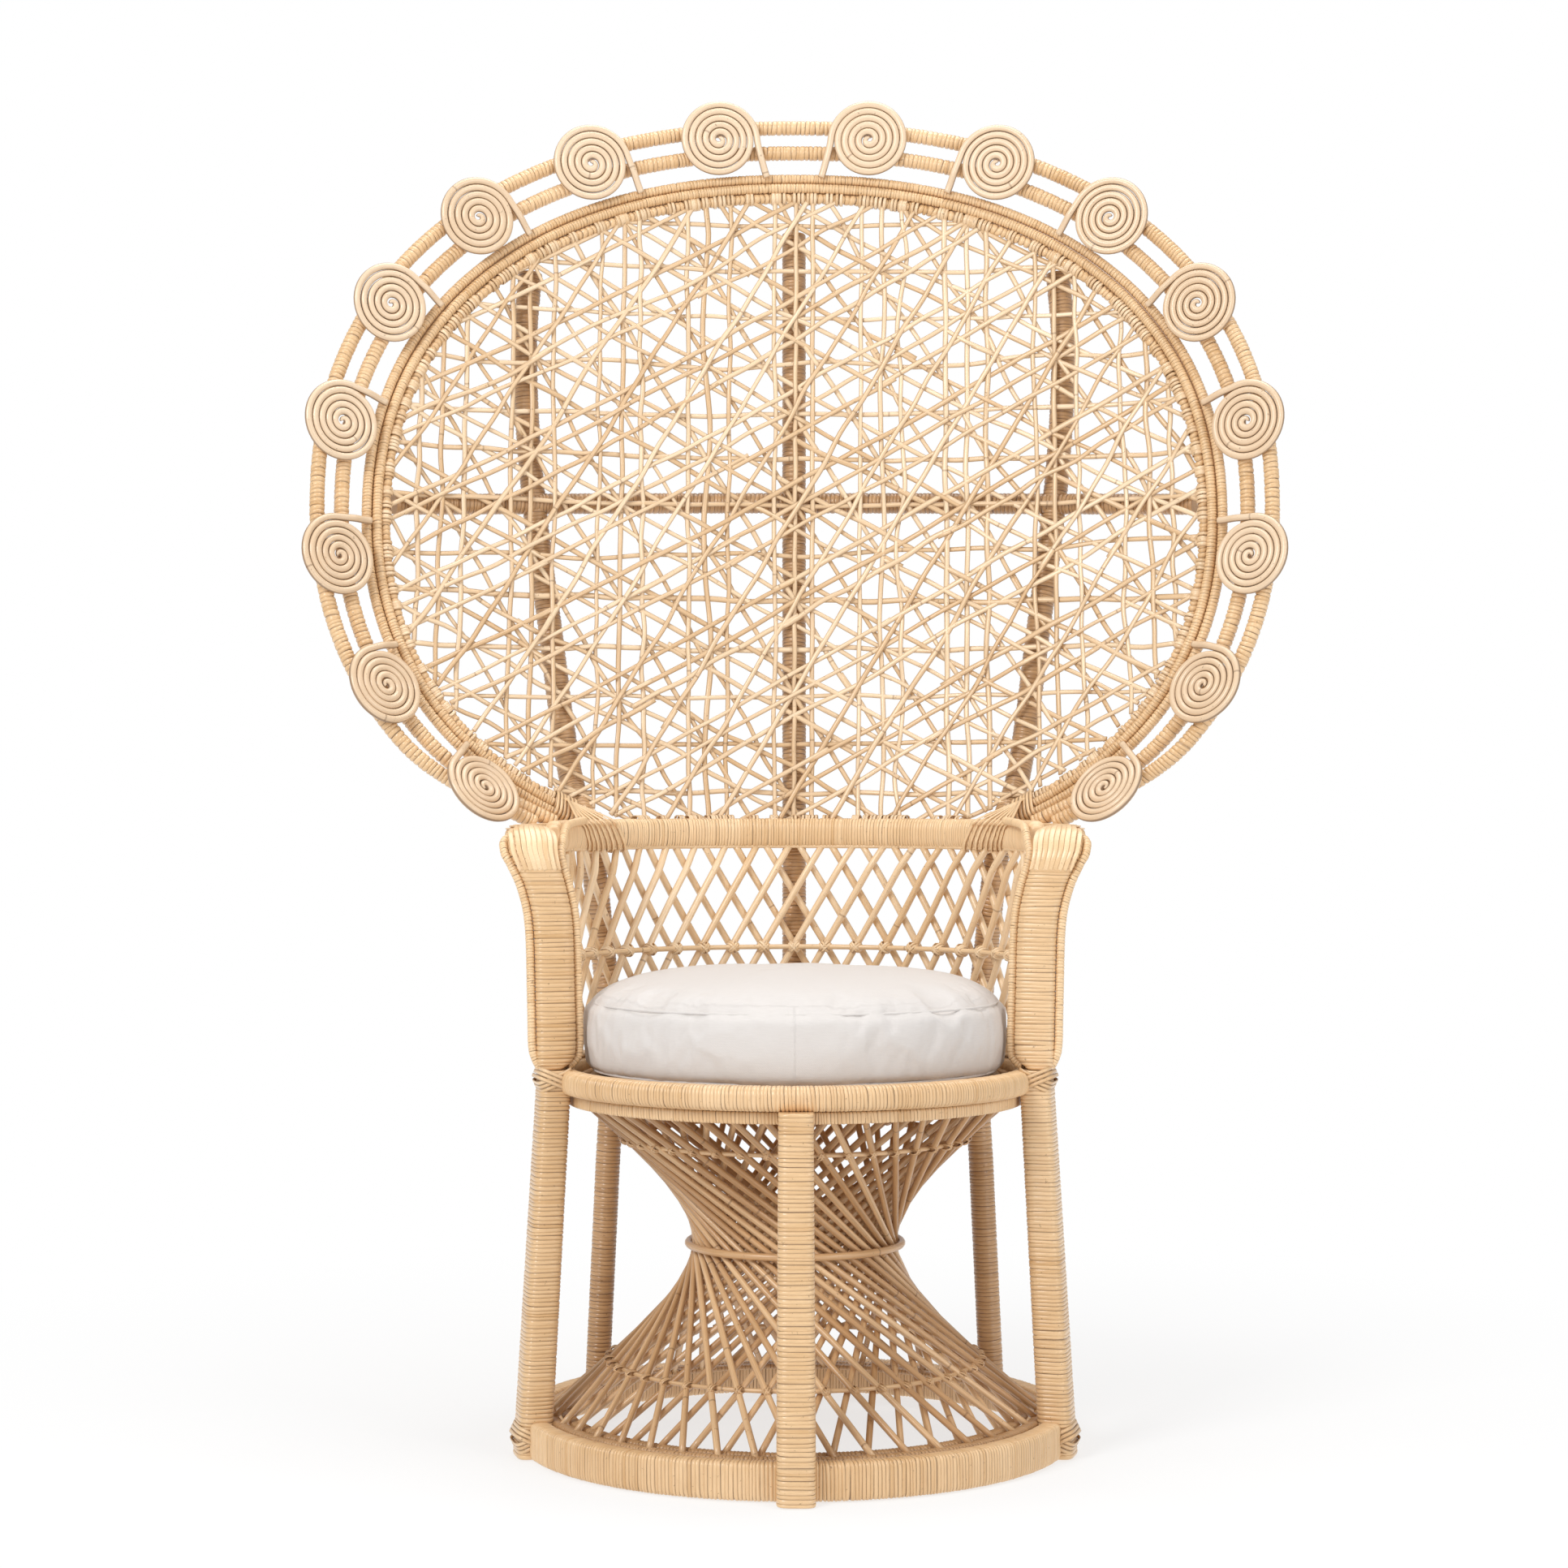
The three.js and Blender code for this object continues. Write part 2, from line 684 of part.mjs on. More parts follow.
// How high a faceted hoop's middle line rises over a plane, within a reach of a point of it
function highestRise(line, middle, normal, reach) {
  let highest = -Infinity;
  for (let i = 1; i < line.length; i++) {
    for (let part = 0; part < discSearchParts; part++) {
      const away = line[i - 1].spot.clone().lerp(line[i].spot, part / discSearchParts).sub(middle);
      const rise = away.dot(normal);
      if (Math.sqrt(away.lengthSq() - rise ** 2) < reach) highest = Math.max(highest, rise);
    }
  }
  return highest;
}

// How far a disc lies out from the fan's face so that it rests on the two hoops behind it
function discLiftAt(turn) {
  const { normal } = rimFrame(turn);
  const middle = rimSpot(turn, discOffset, 0);
  const reach = discRadius + outerHoopDiameter / 2;
  const rises = [nearHoopLine, farHoopLine].map((line) => highestRise(line, middle, normal, reach));
  return Math.max(...rises) + (outerHoopDiameter + discCoreWidth) / 2 + clearance;
}

// Where a disc's tail ends: in front of the rim's outer hoop, a step back toward the fan's top
function tailEndAt(turn) {
  const tailTurn = turn - discRadius / fanHalfWidth;
  const after = rimOuterLine.findIndex((station) => station.turn > tailTurn);
  const [from, to] = [rimOuterLine[after - 1], rimOuterLine[after]];
  const share = (tailTurn - from.turn) / (to.turn - from.turn);
  const lift = (rimHoopDiameter + discCoreWidth) / 2 + clearance;
  return from.spot.clone().lerp(to.spot, share).addScaledVector(rimFrame(turn).normal, lift);
}

function placeDiscs() {
  const mirror = new THREE.Matrix4().makeScale(-1, 1, 1);
  discTurnsAlong().forEach((turn, i) => {
    const { along, outward, normal } = rimFrame(turn);
    const middle = rimSpot(turn, discOffset, discLiftAt(turn));
    const place = new THREE.Matrix4().makeBasis(outward, along.negate(), normal).setPosition(middle);
    const tailEnd = tailEndAt(turn).applyMatrix4(place.clone().invert());
    const right = coilDisc(tailEnd).applyMatrix4(place);
    addPiece(`right_disc_${i + 1}`, weld(right), paleCane);
    addPiece(`left_disc_${i + 1}`, weld(right.clone().applyMatrix4(mirror)), paleCane);
  });
}

// The fan's net: a flat map of strands, opened into cells and laid on the fan's face

// The inner edge of the rim, down to the band, as a polygon in front view
function netOutline() {
  const inner = -(rimHoopStep + rimBindingDiameter / 2 + clearance);
  const chord = (4 * fanHalfWidth) / fanHoopSteps;
  const inset = inner - (netSagShare * chord ** 2) / fanHalfWidth;
  const floor = bandTopHeight + clearance;
  const endTurn = endTurnOf(inset, floor);
  const line = [];
  for (let i = 0; i <= outlineSteps; i++) {
    const { x, z } = rimSpot(((2 * i) / outlineSteps - 1) * endTurn, inset, 0);
    line.push(new THREE.Vector2(x, z));
  }
  return line;
}

function insideOutline(outline, { x, y }) {
  let inside = false;
  outline.forEach((a, i) => {
    const b = outline[(i + 1) % outline.length];
    const spans = a.y > y !== b.y > y;
    if (spans && x < a.x + ((y - a.y) / (b.y - a.y)) * (b.x - a.x)) inside = !inside;
  });
  return inside;
}

function crossingOf(outline, inner, outer) {
  let [low, high] = [0, 1];
  for (let i = 0; i < searchSteps; i++) {
    const middle = (low + high) / 2;
    if (insideOutline(outline, inner.clone().lerp(outer, middle))) low = middle;
    else high = middle;
  }
  return inner.clone().lerp(outer, low);
}

// Strands between neighbouring crossings; every second crossing is a star with slanting strands too
function strandMap(outline) {
  const spots = [];
  const links = [];
  const ids = new Map();
  const place = (column, row) =>
    new THREE.Vector2(column * starColumnPitch, fanCentreHeight + starRowRise + row * starRowPitch);
  const idOf = (column, row) => {
    const key = `${column},${row}`;
    if (!ids.has(key)) ids.set(key, spots.push(place(column, row)) - 1);
    return ids.get(key);
  };
  const columns = Math.ceil(fanHalfWidth / starColumnPitch) + 1;
  const rows = Math.ceil(fanHalfHeight / starRowPitch) + 1;
  const edge = [];
  for (let column = -columns; column <= columns; column++) {
    for (let row = -rows; row <= rows; row++) {
      const star = (column + row) % 2 === 0;
      const steps = star ? [[1, 0], [0, 1], [1, 1], [1, -1]] : [[1, 0], [0, 1]];
      for (const [across, up] of steps) {
        const [from, to] = [place(column, row), place(column + across, row + up)];
        const [fromIn, toIn] = [from, to].map((spot) => insideOutline(outline, spot));
        if (fromIn && toIn) links.push([idOf(column, row), idOf(column + across, row + up)]);
        if (fromIn === toIn) continue;
        const kept = fromIn ? idOf(column, row) : idOf(column + across, row + up);
        const end = fromIn ? crossingOf(outline, from, to) : crossingOf(outline, to, from);
        edge.push(spots.push(end) - 1);
        links.push([kept, spots.length - 1]);
      }
    }
  }
  for (const corner of [outline[0], outline[outline.length - 1]]) edge.push(spots.push(corner) - 1);
  const bearing = (id) => Math.atan2(spots[id].y - fanCentreHeight, spots[id].x);
  edge.sort((a, b) => bearing(a) - bearing(b));
  const border = edge.map((id, i) => [id, edge[(i + 1) % edge.length]]);
  return { spots, links, border };
}

// Walks the map's half edges into faces: each face is a list of half edges with their spots
function facesOf({ spots, links, border }) {
  const halves = [];
  const around = spots.map(() => []);
  const addLink = ([a, b], width) => {
    const first = halves.length;
    halves.push({ from: a, to: b, twin: first + 1, width }, { from: b, to: a, twin: first, width });
    around[a].push(first);
    around[b].push(first + 1);
  };
  links.forEach((link) => addLink(link, strandWidth / 2));
  border.forEach((link) => addLink(link, netBorderWidth));
  const bearing = ({ from, to }) =>
    Math.atan2(spots[to].y - spots[from].y, spots[to].x - spots[from].x);
  around.forEach((list) => list.sort((a, b) => bearing(halves[a]) - bearing(halves[b])));
  halves.forEach((half) => {
    const list = around[half.to];
    half.next = list[(list.indexOf(half.twin) + list.length - 1) % list.length];
  });
  const faces = [];
  halves.forEach((start, first) => {
    if (start.face !== undefined) return;
    const face = [];
    for (let id = first; halves[id].face === undefined; id = halves[id].next) {
      halves[id].face = faces.length;
      face.push(id);
    }
    faces.push(face);
  });
  return { halves, around, faces };
}

// Where the inner edges of two strands of a face meet, each moved into the face by its half width
function insetCorner(before, half, spots) {
  const [here, last] = [spots[half.from], spots[before.to]];
  const into = last.clone().sub(spots[before.from]).normalize();
  const onward = spots[half.to].clone().sub(here).normalize();
  const turn = into.cross(onward);
  const [sideIn, sideOut] = [into, onward].map((way) => new THREE.Vector2(-way.y, way.x));
  const start = here.clone().addScaledVector(sideOut, half.width);
  if (Math.abs(turn) < straightTurn) return start;
  const from = last.clone().addScaledVector(sideIn, before.width);
  return from.clone().addScaledVector(into, start.sub(from).cross(onward) / turn);
}

function polygonArea(corners) {
  return corners.reduce((sum, a, i) => sum + a.cross(corners[(i + 1) % corners.length]), 0) / 2;
}

// The opening inside one face: the edges that keep a side of it, and its corners where they start;
// short edges that the strands' width covers drop out
function openingOf(face, halves, spots) {
  const kept = face.map((id) => halves[id]);
  while (kept.length > 2) {
    const corners = kept.map((half, i) => insetCorner(kept.at(i - 1), half, spots));
    const runs = kept.map((half, i) => {
      const run = corners[(i + 1) % kept.length].clone().sub(corners[i]);
      return run.dot(spots[half.to].clone().sub(spots[half.from]).normalize());
    });
    const shortest = runs.indexOf(Math.min(...runs));
    if (runs[shortest] > leastNetEdge) {
      return polygonArea(corners) > strandWidth * starRowPitch ? { kept, corners } : null;
    }
    kept.splice(shortest, 1);
  }
  return null;
}

function fanNet() {
  const map = strandMap(netOutline());
  const { spots } = map;
  const { halves, around, faces } = facesOf(map);
  const flat = [];
  const walls = [];
  faces.forEach((face) => {
    const outline = face.map((id) => spots[halves[id].from]);
    const outside = polygonArea(outline) < 0;
    const whole = { kept: face.map((id) => halves[id]), corners: outline };
    const opening = outside ? whole : openingOf(face, halves, spots);
    const first = flat.length;
    if (opening) {
      const { kept, corners } = opening;
      flat.push(...corners);
      corners.forEach((_, i) => walls.push([first + i, first + ((i + 1) % corners.length)]));
      // A dropped edge shares the corner at which the next kept edge starts
      const start = face.indexOf(halves.indexOf(kept[0]));
      let at = kept.length;
      for (let i = face.length; i > 0; i--) {
        const half = halves[face[(start + i) % face.length]];
        if (half === kept[at % kept.length]) half.corner = first + (at-- % kept.length);
        else half.corner = first + ((at + 1) % kept.length);
      }
    } else {
      const middle = outline.reduce((sum, spot) => sum.add(spot), new THREE.Vector2());
      flat.push(middle.divideScalar(outline.length));
      face.forEach((id) => {
        halves[id].corner = first;
      });
    }
  });
  const sheets = [];
  halves.forEach((half, id) => {
    if (half.twin < id) return;
    const twin = halves[half.twin];
    sheets.push([twin.corner, halves[twin.next].corner, half.corner, halves[half.next].corner]);
  });
  const quads = sheets.map(([a, b, c, d]) => [b, a, d, c]);
  const stars = around.map((list) => list.map((id) => halves[id].corner));
  const count = flat.length;
  const index = [];
  [...quads, ...stars].forEach((corners) => {
    for (let i = 1; i + 1 < corners.length; i++) {
      const [a, b, c] = [corners[0], corners[i], corners[i + 1]];
      if (a === b || b === c || a === c) continue;
      index.push(a, b, c, a + count, c + count, b + count);
    }
  });
  walls.forEach(([a, b]) => index.push(a, b, b + count, a, b + count, a + count));
  const half = strandThickness / 2;
  const points = [half, -half].flatMap((lift) => flat.map((spot) => onFan(spot.x, spot.y, lift)));
  const geometry = new THREE.BufferGeometry().setFromPoints(points).setIndex(index);
  return geometry;
}

// Posts and brace

const postLift = -(rimBindingDiameter / 2 + clearance + postRadius);

const fanHeightAt = (share) => bandTopHeight + (fanTopHeight - bandTopHeight) * share;

function postPath(side) {
  const reach = bandRadius + bandWall / 2 + clearance + postRadius;
  const seatReach = seatHoopRadius + clearance + postRadius;
  const seatShare = seatTopHeight / bandTopHeight;
  const low = postLowHeightShares.map((share, i) => {
    const x = side * bandRadius * postLowSpreadShares[i];
    const blend = share < seatShare ? share / seatShare : (share - seatShare) / (1 - seatShare);
    const [from, to] = share < seatShare ? [postFootRadius, seatReach] : [seatReach, reach];
    const radius = from + (to - from) * blend;
    return new THREE.Vector3(x, Math.sqrt(radius ** 2 - x ** 2), share * bandTopHeight);
  });
  const high = postFanHeightShares.map((share, i) =>
    onFan(side * fanHalfWidth * postFanSpreadShares[i], fanHeightAt(share), postLift),
  );
  return new THREE.CatmullRomCurve3([...low, ...high]);
}

function centrePostPath() {
  const reach = bandRadius + bandWall / 2 + clearance + postRadius;
  const seatReach = seatHoopRadius + clearance + postRadius;
  return new THREE.CatmullRomCurve3([
    new THREE.Vector3(0, postFootRadius, 0),
    new THREE.Vector3(0, seatReach, seatTopHeight),
    new THREE.Vector3(0, reach, bandTopHeight),
    onFan(0, fanCentreHeight, postLift),
    onFan(0, fanHeightAt(centrePostTopShare), postLift),
  ]);
}

function brace(grow = 0) {
  const end = fanHalfWidth - braceEndRoom;
  const bow = (end / braceSteps) ** 2 / fanTopCurve;
  const lift = -(strandThickness / 2 + 2 * clearance + bow + braceDiameter / 2);
  const spots = Array.from({ length: braceBends + 1 }, (_, i) => {
    const share = (2 * i) / braceBends - 1;
    return onFan(share * end, fanCentreHeight + braceRise - braceEndDrop * share ** 2, lift);
  });
  return roundTube(new THREE.CatmullRomCurve3(spots), braceDiameter / 2 + grow, braceSteps, roundSides);
}

// Cuts a post flat at the floor
function floorTool() {
  const size = 4 * baseHoopRadius;
  return new THREE.BoxGeometry(size, size, size).translate(0, 0, -size / 2);
}

// The low back

function arcRing(radius, wall, bottom, top, angles) {
  const [inside, outside] = [radius - wall / 2, radius + wall / 2];
  const rings = angles.map((angle) => [
    polar(inside, angle, bottom),
    polar(outside, angle, bottom),
    polar(outside, angle, top),
    polar(inside, angle, top),
  ]);
  return loft(rings);
}

function band(grow = 0) {
  const rings = [];
  const middle = bandTopHeight - bandHeight / 2;
  const up = new THREE.Vector3(0, 0, 1);
  for (let i = 0; i <= bandSteps; i++) {
    const angle = ((2 * i) / bandSteps - 1) * bandEndAngle;
    const [wall, height] = [bandWall + 2 * grow, bandHeight + 2 * grow];
    rings.push(slabRing(polar(bandRadius, angle, middle), polar(1, angle, 0), up, wall, height));
  }
  return loft(rings);
}

const armStandAngle = (armThickness / 2 + clearance + latticeRodDiameter) / armRadius;
const latticeEndAngle = sideLegAngle - armStandAngle;
const latticeBow = latticeOuterRadius * (1 - Math.cos(latticeRodTwist / 4));
const latticeInnerRadius = latticeOuterRadius - latticeRodDiameter - latticeBow - clearance;
const latticeBottom = seatTopHeight + clearance;
const latticeTop = bandTopHeight - bandHeight - clearance;

// Angles for a strip's facets between two angles, so that each rod meets the middle of one
function stripAngles(rodAngle, from, to) {
  const angles = [from];
  const first = Math.ceil((from - rodAngle) / latticeRodPitch);
  const last = Math.floor((to - rodAngle) / latticeRodPitch);
  for (let i = first; i < last; i++) angles.push(rodAngle + (i + 0.5) * latticeRodPitch);
  return [...angles, to];
}

const latticeSideRods = Math.floor((latticeEndAngle + latticeRodTwist / 2) / latticeRodPitch);

// Neighbouring slanting rods of a layer of the low back, from a first to a last one, between lengths
// of foot strip and head strip, with an end upright where the group reaches the layer's end
function latticeGroup(radius, slant, first, last) {
  const half = latticeRodTwist / 2;
  const [low, high] = [latticeBottom + latticeStripHeight, latticeTop - latticeStripHeight];
  const gap = clearance / 2 / radius;
  const edge = latticeEndAngle - latticeStripWall / 2 / radius;
  const [startsLayer, endsLayer] = [first === -latticeSideRods, last === latticeSideRods];
  const lengthOf = (bottom, turn) => {
    const from = startsLayer ? -latticeEndAngle : (first - 0.5) * latticeRodPitch + turn + gap;
    const to = endsLayer ? latticeEndAngle : (last + 0.5) * latticeRodPitch + turn - gap;
    const angles = stripAngles(turn, from, to).map((angle) => slant * angle);
    return arcRing(radius, latticeStripWall, bottom, bottom + latticeStripHeight, angles);
  };
  const pieces = [lengthOf(latticeBottom, -half), lengthOf(high, half)];
  const sides = [startsLayer && -1, endsLayer && 1].filter((side) => side);
  for (const side of sides) {
    const ends = [polar(radius, slant * side * edge, low), polar(radius, slant * side * edge, high)];
    pieces.push(bentRod(setIn(ends, rodSeatDepth), latticeRodDiameter, true));
  }
  for (let i = first; i <= last; i++) {
    const start = i * latticeRodPitch - half;
    const [from, to] = [Math.max(start, -edge), Math.min(start + latticeRodTwist, edge)];
    const shareAt = (angle) => (angle - start) / latticeRodTwist;
    if (shareAt(to) - shareAt(from) < leastRodShare) continue;
    const bends = from < start + half && start + half < to ? [from, start + half, to] : [from, to];
    const spots = bends.map((angle) => polar(radius, slant * angle, low + (high - low) * shareAt(angle)));
    const whole = from === start && to < edge;
    pieces.push(bentRod(whole ? setIn(spots, rodSeatDepth) : spots, latticeRodDiameter, whole));
  }
  return geometryOf(join(pieces));
}

// The thin hoop tied across the rods where they bend, at half height and in front of them
function latticeTie() {
  const height = (latticeBottom + latticeTop) / 2;
  const flatReach = Math.cos(Math.PI / rodSides) / 2;
  const away = (latticeRodDiameter + latticeTieDiameter) * flatReach + clearance;
  const profile = roundProfile(latticeInnerRadius - away, height, latticeTieDiameter / 2, tieSides);
  const rings = Array.from({ length: latticeTieSteps + 1 }, (_, i) => {
    const angle = ((2 * i) / latticeTieSteps - 1) * latticeEndAngle;
    return profile.map(([radius, z]) => polar(radius, angle, z));
  });
  return loft(rings);
}

// Arms

// Stations up one arm front and back outside the band, each with its middle and two directions
function armStations(side) {
  const radialAt = (angle) => polar(1, side * angle, 0);
  const radial = radialAt(sideLegAngle);
  const back = new THREE.Vector3(radial.y, -radial.x, 0).multiplyScalar(-side);
  const front = back.clone().negate();
  const up = new THREE.Vector3(0, 0, 1);
  const bottom = seatTopHeight + clearance;
  const turnHeight = armTopHeight - armThickness / 2 - armBend;
  const stations = armRiseShares.map((share, i) => ({
    middle: radial
      .clone()
      .multiplyScalar(armRadius + armFlare * armFlareShares[i])
      .setZ(bottom + (turnHeight - bottom) * share),
    across: radial,
    through: front,
    width: armWidth * armWidthShares[i],
  }));
  for (let step = 1; step < armBendSteps; step++) {
    const turn = (step / armBendSteps) * (Math.PI / 2);
    const middle = radial
      .clone()
      .multiplyScalar(armRadius + armFlare)
      .setZ(turnHeight + armBend * Math.sin(turn))
      .addScaledVector(back, armBend * (1 - Math.cos(turn)));
    const through = front.clone().multiplyScalar(Math.cos(turn)).addScaledVector(up, Math.sin(turn));
    stations.push({ middle, across: radial, through, width: armWidth });
  }
  const restStart = sideLegAngle - armBend / armRadius;
  const bow = armRadius * (1 - Math.cos((restStart - armEndAngle) / armRestShares.length));
  const restRadius = bandRadius + (bandWall + armRestWidth) / 2 + 2 * clearance + bow;
  armRestShares.forEach((share, i) => {
    const across = radialAt(restStart + (armEndAngle - restStart) * share);
    const radius = i ? restRadius : armRadius + armFlare;
    const middle = across.clone().multiplyScalar(radius).setZ(armTopHeight - armThickness / 2);
    stations.push({ middle, across, through: up, width: i ? armRestWidth : armWidth });
  });
  return stations;
}

function armFront(side) {
  const rings = armStations(side).map(({ middle, across, through, width }) =>
    slabRing(middle, across, through, width, armThickness),
  );
  return loft(rings);
}

// A cord along one edge of the arm front, up to where the arm turns back beside the band
function armRim(side, edge) {
  const last = armRiseShares.length + armBendSteps;
  const spots = armStations(side)
    .slice(1, last + 1)
    .map(({ middle, across, width }) =>
      middle.clone().addScaledVector(across, edge * ((width + armRimDiameter) / 2 + armRimGap)),
    );
  return roundTube(new THREE.CatmullRomCurve3(spots), armRimDiameter / 2, armRimSteps, roundSides);
}

// Assembly

const base = baseHoop();
const seat = seatHoop();
addPiece("base_hoop", weld(base), cane);
addPiece("seat_hoop", weld(seat), cane);
addPiece("seat_deck", weld(seatDeck()), rodCane);
addPiece("cushion", weld(cushion()), linen, 0.9);

for (let first = 0; first < baseRodCount; first += rodsPerGroup) {
  const name = `hourglass_outer_rods_${first / rodsPerGroup + 1}`;
  addPiece(name, rodGroup(outerRods, first, rodsPerGroup), rodCane);
}
addPiece("hourglass_inner_rods", rodGroup(innerRods, 0, baseRodCount), rodCane);
const waistShare = outerRods[0] / (outerRods[0] + outerRods[1]);
addPiece("waist_ring", weld(tieRing(waistShare, waistRingDiameter, 1)), rodCane);
addPiece("lower_tie_ring", weld(tieRing(lowerTieShare, tieRodDiameter, -1)), rodCane);
addPiece("upper_tie_ring", weld(tieRing(upperTieShare, tieRodDiameter, -1)), rodCane);

const rodRoomTop = baseHoopHeight + baseRodDiameter;
const rodRoom = boxProfile(outerRodFoot - rodRingWall, baseHoopInside + overrun, -overrun, rodRoomTop);
const hoopTools = [baseHoop(clearance), seatHoop(clearance), turnedRing(rodRoom)];
const bindingGrown = hoopTube(rimBindingLine, rimBindingDiameter / 2 + clearance);
const postTools = [floorTool(), ...hoopTools, band(clearance), brace(clearance), bindingGrown];
const underSeat = seatBottomHeight - clearance;
const frontLeg = leg(Math.PI, frontLegFootRadius, frontLegTopRadius, frontLegWidth, frontLegDepth, underSeat);
addPiece("front_leg", cut(frontLeg, [baseHoop(clearance)]), cane);
for (const [name, side] of [["left", -1], ["right", 1]]) {
  const angle = side * sideLegAngle;
  const whole = leg(angle, sideLegFootRadius, sideLegTopRadius, sideLegWidth, sideLegDepth, seatTopHeight);
  addPiece(`${name}_front_leg`, cut(whole, hoopTools), cane);
  const post = roundTube(postPath(side), postRadius, sidePostSteps, roundSides);
  addPiece(`${name}_back_post`, cut(post, postTools), shadedCane);
  addPiece(`${name}_arm_front`, weld(armFront(side)), cane);
  addPiece(`${name}_arm_outer_rim`, weld(armRim(side, 1)), cane);
  addPiece(`${name}_arm_inner_rim`, weld(armRim(side, -1)), cane);
}
const centrePost = roundTube(centrePostPath(), postRadius, centrePostSteps, roundSides);
addPiece("centre_back_post", cut(centrePost, postTools), shadedCane);
addPiece("back_brace", weld(brace()), shadedCane);

addPiece("low_back_band", weld(band()), cane);
for (let first = -latticeSideRods; first <= latticeSideRods; first += latticeRodsPerGroup) {
  const last = Math.min(first + latticeRodsPerGroup - 1, latticeSideRods);
  const name = `low_back_outer_rods_${(first + latticeSideRods) / latticeRodsPerGroup + 1}`;
  addPiece(name, latticeGroup(latticeOuterRadius, 1, first, last), rodCane);
}
const innerLattice = latticeGroup(latticeInnerRadius, -1, -latticeSideRods, latticeSideRods);
addPiece("low_back_inner_rods", innerLattice, rodCane);
addPiece("low_back_tie_hoop", weld(latticeTie()), rodCane);

addPiece("fan_rim_outer_hoop", weld(hoopTube(rimOuterLine, rimHoopDiameter / 2)), cane);
addPiece("fan_rim_middle_hoop", weld(hoopTube(rimMiddleLine, rimHoopDiameter / 2)), cane);
addPiece("fan_rim_binding_hoop", weld(hoopTube(rimBindingLine, rimBindingDiameter / 2)), cane);
addPiece("outer_hoop_near", weld(hoopTube(nearHoopLine, outerHoopDiameter / 2)), cane);
addPiece("outer_hoop_far", weld(hoopTube(farHoopLine, outerHoopDiameter / 2)), cane);
placeDiscs();
addPiece("fan_net", weld(fanNet()), paleCane);

// The chair's own origin is on the floor, in the middle of its outline
const extent = new THREE.Box3().setFromObject(chair);
chair.position.set(0, -(extent.min.y + extent.max.y) / 2, 0);

export default chair;
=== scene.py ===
from functools import partial

import bpy
import numpy as np
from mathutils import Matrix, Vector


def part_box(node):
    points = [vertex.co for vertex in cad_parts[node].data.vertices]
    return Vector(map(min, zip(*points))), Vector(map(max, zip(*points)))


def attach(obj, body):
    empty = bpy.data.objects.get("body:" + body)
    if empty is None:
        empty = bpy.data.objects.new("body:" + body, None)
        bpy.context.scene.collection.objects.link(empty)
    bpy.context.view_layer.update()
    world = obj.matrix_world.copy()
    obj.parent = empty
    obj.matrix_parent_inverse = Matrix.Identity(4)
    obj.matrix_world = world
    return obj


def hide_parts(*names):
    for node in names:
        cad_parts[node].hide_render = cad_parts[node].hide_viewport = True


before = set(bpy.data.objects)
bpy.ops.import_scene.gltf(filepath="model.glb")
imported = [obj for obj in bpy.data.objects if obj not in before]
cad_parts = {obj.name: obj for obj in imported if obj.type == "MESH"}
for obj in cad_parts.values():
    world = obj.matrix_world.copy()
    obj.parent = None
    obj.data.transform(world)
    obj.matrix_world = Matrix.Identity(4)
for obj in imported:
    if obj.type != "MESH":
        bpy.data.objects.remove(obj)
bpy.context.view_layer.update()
baseLow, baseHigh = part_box("base_hoop")
chairMiddle = np.array((0, (baseLow[1] + baseHigh[1]) / 2, 0))
pi = np.pi
up = np.array((0.0, 0.0, 1.0))
print("frame loaded")


# Forms: points, quads and end caps, with values per point for the materials


def unit(v):
    return v / np.linalg.norm(v, axis=-1, keepdims=True)


def polar(radius, angle, height=0.0):
    # x = radius sin(angle), y = radius cos(angle): the angle runs from the back, to the right
    radius, angle, height = np.broadcast_arrays(radius, angle, height)
    return np.stack([radius * np.sin(angle), radius * np.cos(angle), height], -1)


def rounded(angle, power):
    # Cosine and sine of a squared circle: |cos|^power + |sin|^power = 1
    return [np.sign(wave) * np.abs(wave) ** (2 / power) for wave in (np.cos(angle), np.sin(angle))]


def eased(share):
    # Smooth step from 0 to 1: 3 s^2 - 2 s^3
    share = np.clip(share, 0, 1)
    return share**2 * (3 - 2 * share)


def cornersOf(sides):
    return (np.arange(sides) + 0.5) / sides * 2 * pi


def flanksOf(sides):
    # Which corners of a section lie on its flanks, toward its neighbours
    return np.abs(np.cos(cornersOf(sides))) > 0.84


def alongOf(spots):
    # Distance travelled along each row of spots
    steps = np.linalg.norm(np.diff(spots, axis=-2), axis=-1)
    start = np.zeros(steps.shape[:-1] + (1,))
    return np.concatenate([start, np.cumsum(steps, -1)], -1)


def frameOf(spots, toward):
    # Two directions square to each line: through points as nearly toward the given way as it can
    way = unit(np.gradient(spots, axis=-2))
    across = unit(np.cross(way, np.broadcast_to(toward, spots.shape)))
    return across, np.cross(across, way)


